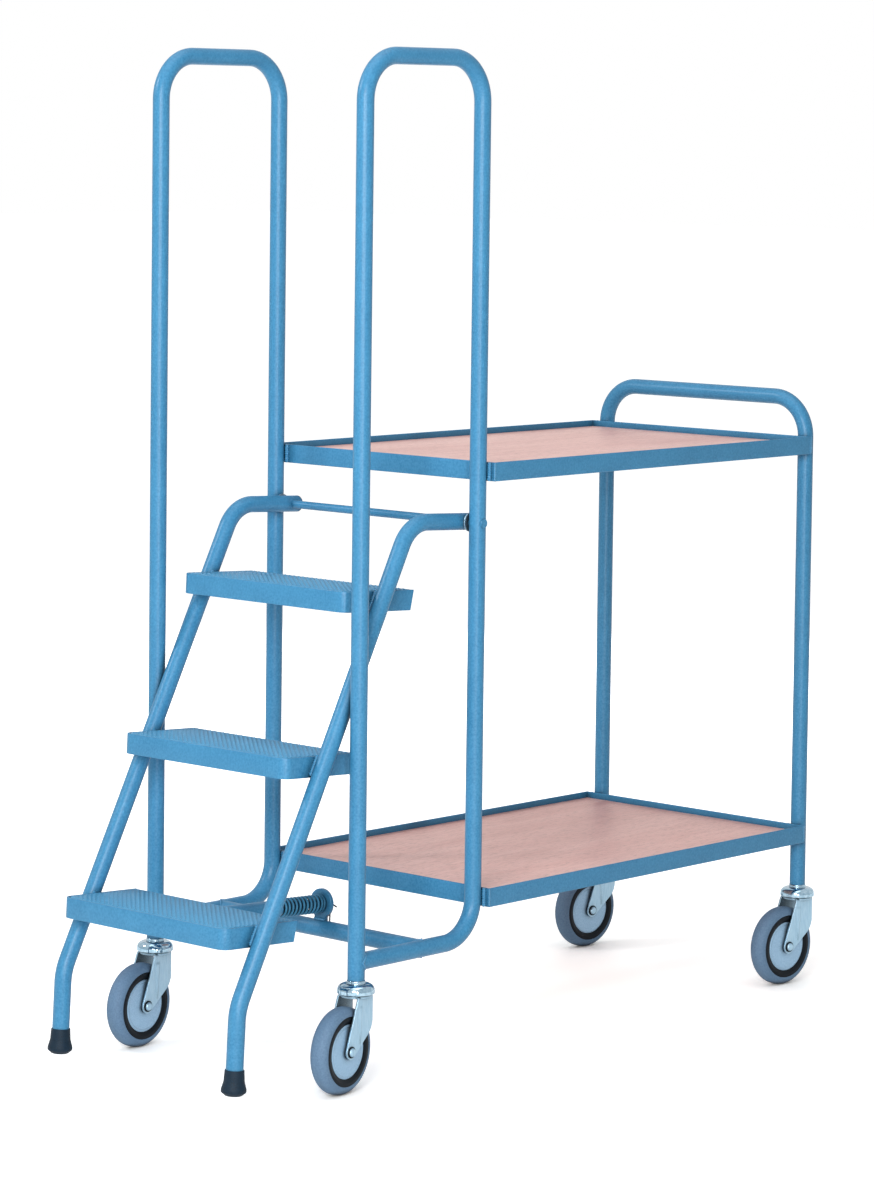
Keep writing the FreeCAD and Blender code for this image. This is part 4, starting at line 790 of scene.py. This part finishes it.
# Castors: domed cups fixed to the tubes, forks that swivel under them, wheels on bolts
cup = {"radius": 0.0275, "drop": 0.0185, "shoulder": 0.010, "collar": 0.0135, "collarHeight": 0.005,
       "wall": 0.0015, "collarRound": 0.0016, "root": 0.0012, "rim": 0.0006, "sides": 64, "arc": 10}
pan = {"radius": 0.023, "depth": 0.0045, "wall": 0.002, "shoulder": 0.0022, "edge": 0.0005, "inset": 0.00005,
       "arc": 5}
cupSheets = []
for castor in ("front_right", "front_left", "rear_right", "rear_left"):
    swivel = np.array(joints[f"{castor}_swivel"]["pos_m"])
    hubSpot = np.array(joints[f"{castor}_roll"]["pos_m"])
    axleWay = np.array(joints[f"{castor}_roll"]["axis"])
    ahead = np.cross(axleWay, wayZ)
    ownWays = np.stack([ahead, axleWay, wayZ])
    centre, top = swivel * (1, 1, 0), swivel[2]
    roof, brim, inner = top - cup["collarHeight"], top - cup["drop"], cup["radius"] - cup["wall"]
    corners = [(roof - cup["wall"], 0), (roof - cup["wall"], inner), (brim, inner), (brim, cup["radius"]),
               (roof, cup["radius"]), (roof, cup["collar"]), (top - fits["weld"], cup["collar"]),
               (top - fits["weld"], 0)]
    profile = roundedRun(corners, (cup["shoulder"] - cup["wall"], cup["rim"], cup["rim"], cup["shoulder"],
                                   cup["root"], cup["collarRound"]), pieces=cup["arc"])
    cupSheets.append(turned(profile, centre, wayZ, cup["sides"]))

    crown = brim - fits["running"]
    strip = centre + foldedFork((swivel - hubSpot) @ ahead, hubSpot[2], crown) @ ownWays
    lid, low, inner = crown - pan["inset"], crown - pan["depth"], pan["radius"] - pan["wall"]
    corners = [(lid, 0), (lid, pan["radius"]), (low, pan["radius"]), (low, inner),
               (lid - fork["thick"], inner), (lid - fork["thick"], 0)]
    profile = roundedRun(corners, (pan["shoulder"],) + (pan["edge"],) * 3, pieces=pan["arc"])
    addPiece(f"{castor}_fork_pressing", [(strip, False, True), turned(profile, centre, wayZ, cup["sides"])],
             f"{castor}_fork")

    for piece, node, profile in (("tyre_ring", "tyre", tyreProfile()), ("hub_moulding", "hub", hubProfile())):
        addPiece(f"{castor}_{piece}", [turned(profile, hubSpot, axleWay, wheel["sides"], True)],
                 f"{castor}_{node}")
    addPiece(f"{castor}_cover_discs",
             [turned(coverProfile(), hubSpot, hand * axleWay, wheel["sides"], True) for hand in (1, -1)],
             f"{castor}_covers", look="rolled_zinc_disc")

    outside, inside = fork["half"] + fits["weld"], fork["half"] - fork["thick"] - fits["weld"]
    sleeve = washerProfile(-inside, inside, axle["radius"] + fits["clear"],
                           axle["radius"] + axle["sleeveWall"], fits["weld"])
    sheets = [turned(boltProfile(-outside), hubSpot, axleWay, axle["sides"]),
              (hubSpot + nutGrid(outside) @ ownWays, True, True),
              turned(sleeve, hubSpot, axleWay, axle["sides"], True)]
    addPiece(f"{castor}_axle_bolt", sheets, f"{castor}_axle")
    ring = washerProfile(-outside - axle["seal"], -outside, axle["head"] - fits["clear"], axle["sealRadius"],
                         axle["sealRound"])
    addPiece(f"{castor}_axle_seal", [turned(ring, hubSpot, axleWay, axle["sides"], True)], f"{castor}_axle",
             replaces=False, look="black_plastic", slot="black_plastic")
addPiece("castor_cup_set", cupSheets, "castor_cups")
print("castors done")

# Camera at the photograph's place, solved from the trolley's own edges in the 874 x 1200 picture
camera = {"place": (-4.4789, -4.0551, 1.3726), "yaw": 47.656, "pitch": 3.931, "roll": 0.696, "focal": 3979.83,
          "centre": (437.0, 398.88), "image": (874, 1200), "sensor": 36.0}
yaw, pitch, roll = (math.radians(camera[key]) for key in ("yaw", "pitch", "roll"))
forward = np.array((math.sin(yaw) * math.cos(pitch), math.cos(yaw) * math.cos(pitch), -math.sin(pitch)))
levelWay = np.array((math.cos(yaw), -math.sin(yaw), 0))
upright = np.cross(levelWay, forward)
rightWay = math.cos(roll) * levelWay + math.sin(roll) * upright
upWay = -math.sin(roll) * levelWay + math.cos(roll) * upright
wide, tall = camera["image"]
lens = bpy.data.cameras.new("camera")
lens.sensor_fit = "VERTICAL"
lens.sensor_height = camera["sensor"]
lens.lens = camera["sensor"] * camera["focal"] / tall
lens.shift_x = (wide / 2 - camera["centre"][0]) / tall
lens.shift_y = (camera["centre"][1] - tall / 2) / tall
viewer = addObject("camera", lens)
turnTo = np.stack([rightWay, upWay, -forward], axis=1)
viewer.matrix_world = Matrix.Translation(camera["place"]) @ Matrix(turnTo.tolist()).to_4x4()
bpy.context.scene.camera = viewer

# Studio: a pale floor that keeps the shadow and white all round; a soft lamp before the steps, a wide one
# overhead, a small one far left and a tall strip for the tubes' highlights, and a weak one behind
studio = {"floor": 40.0, "floorColour": "#F2F2F0", "nearGlow": 0.60, "near": 0.7, "far": 3.0, "contact": 0.07,
          "contactRays": 16, "worldLight": 0.1, "aim": (0.0, 0.0, 0.6)}
lamps = {"key": {"place": (-3.5, -2.1, 1.9), "size": (1.2, 1.6), "power": 120},
         "top": {"place": (-0.6, -0.2, 3.9), "size": (3.0, 3.0), "power": 52},
         "left": {"place": (-2.6, 2.4, 2.9), "size": (0.6, 0.6), "power": 46},
         "strip": {"place": (-3.2, -4.0, 1.0), "size": (0.3, 2.0), "power": 84},
         "back": {"place": (3.6, 2.7, 1.5), "size": (2.0, 2.0), "power": 75, "gloss": False}}


def seenDirectly(tree):  # 1 for rays that show the studio itself, straight or in a reflection
    rays = addNode(tree, "LightPath").outputs
    seen = rays["Is Camera Ray"]
    for kind in ("Is Glossy Ray", "Is Transmission Ray"):
        seen = addNode(tree, "Math", {"operation": "MAXIMUM"}, {0: seen, 1: rays[kind]})
    return seen


def makeFloor():  # glows white, less near the object and where something stands on it
    corners = studio["floor"] * np.array(((-1, -1, 0), (1, -1, 0), (1, 1, 0), (-1, 1, 0)))
    mesh = bpy.data.meshes.new("floor")
    mesh.from_pydata(corners, [], [(0, 1, 2, 3)])
    paint, tree, place = newMaterial("studio_floor")
    matt = addNode(tree, "BsdfDiffuse", {"Color": linear(studio["floorColour"])})
    away = addNode(tree, "VectorMath", {"operation": "LENGTH"}, {"Vector": place})
    # painted contact shadow: ambient occlusion cuts the floor's glow where something stands on it
    contact = addNode(tree, "AmbientOcclusion",
                      {"samples": studio["contactRays"], "Distance": studio["contact"]})
    share = addNode(tree, "MapRange", {"From Min": studio["near"], "From Max": studio["far"],
                                       "To Min": studio["nearGlow"]}, {"Value": away.outputs["Value"]})
    for factor in (contact.outputs["AO"], seenDirectly(tree)):
        share = addNode(tree, "Math", {"operation": "MULTIPLY"}, {0: share, 1: factor})
    glow = addNode(tree, "Emission", links={"Strength": share})
    both = addNode(tree, "AddShader", links={0: matt, 1: glow})
    addNode(tree, "OutputMaterial", links={"Surface": both})
    mesh.materials.append(paint)
    addObject("floor", mesh)


def makeWorld():
    world = bpy.context.scene.world = bpy.data.worlds.new("studio")
    world.use_nodes = True
    tree = world.node_tree
    tree.nodes.clear()
    strength = addNode(tree, "MapRange", {"To Min": studio["worldLight"], "To Max": 1.0},
                       {"Value": seenDirectly(tree)})
    sky = addNode(tree, "Background", {"Color": (1, 1, 1, 1)}, {"Strength": strength})
    addNode(tree, "OutputWorld", links={"Surface": sky})


makeFloor()
makeWorld()
for name, lamp in lamps.items():
    light = bpy.data.lights.new(name, "AREA")
    light.shape = "RECTANGLE"
    light.size, light.size_y = lamp["size"]
    light.energy = lamp["power"]
    holder = addObject(name, light)
    holder.location = lamp["place"]
    toAim = Vector(studio["aim"]) - holder.location
    holder.rotation_euler = toAim.to_track_quat("-Z", "Y").to_euler()
    holder.visible_glossy = lamp.get("gloss", True)  # the weak lamp behind leaves no glare on the boards
bpy.context.scene.view_settings.view_transform = "Standard"
print("studio done")
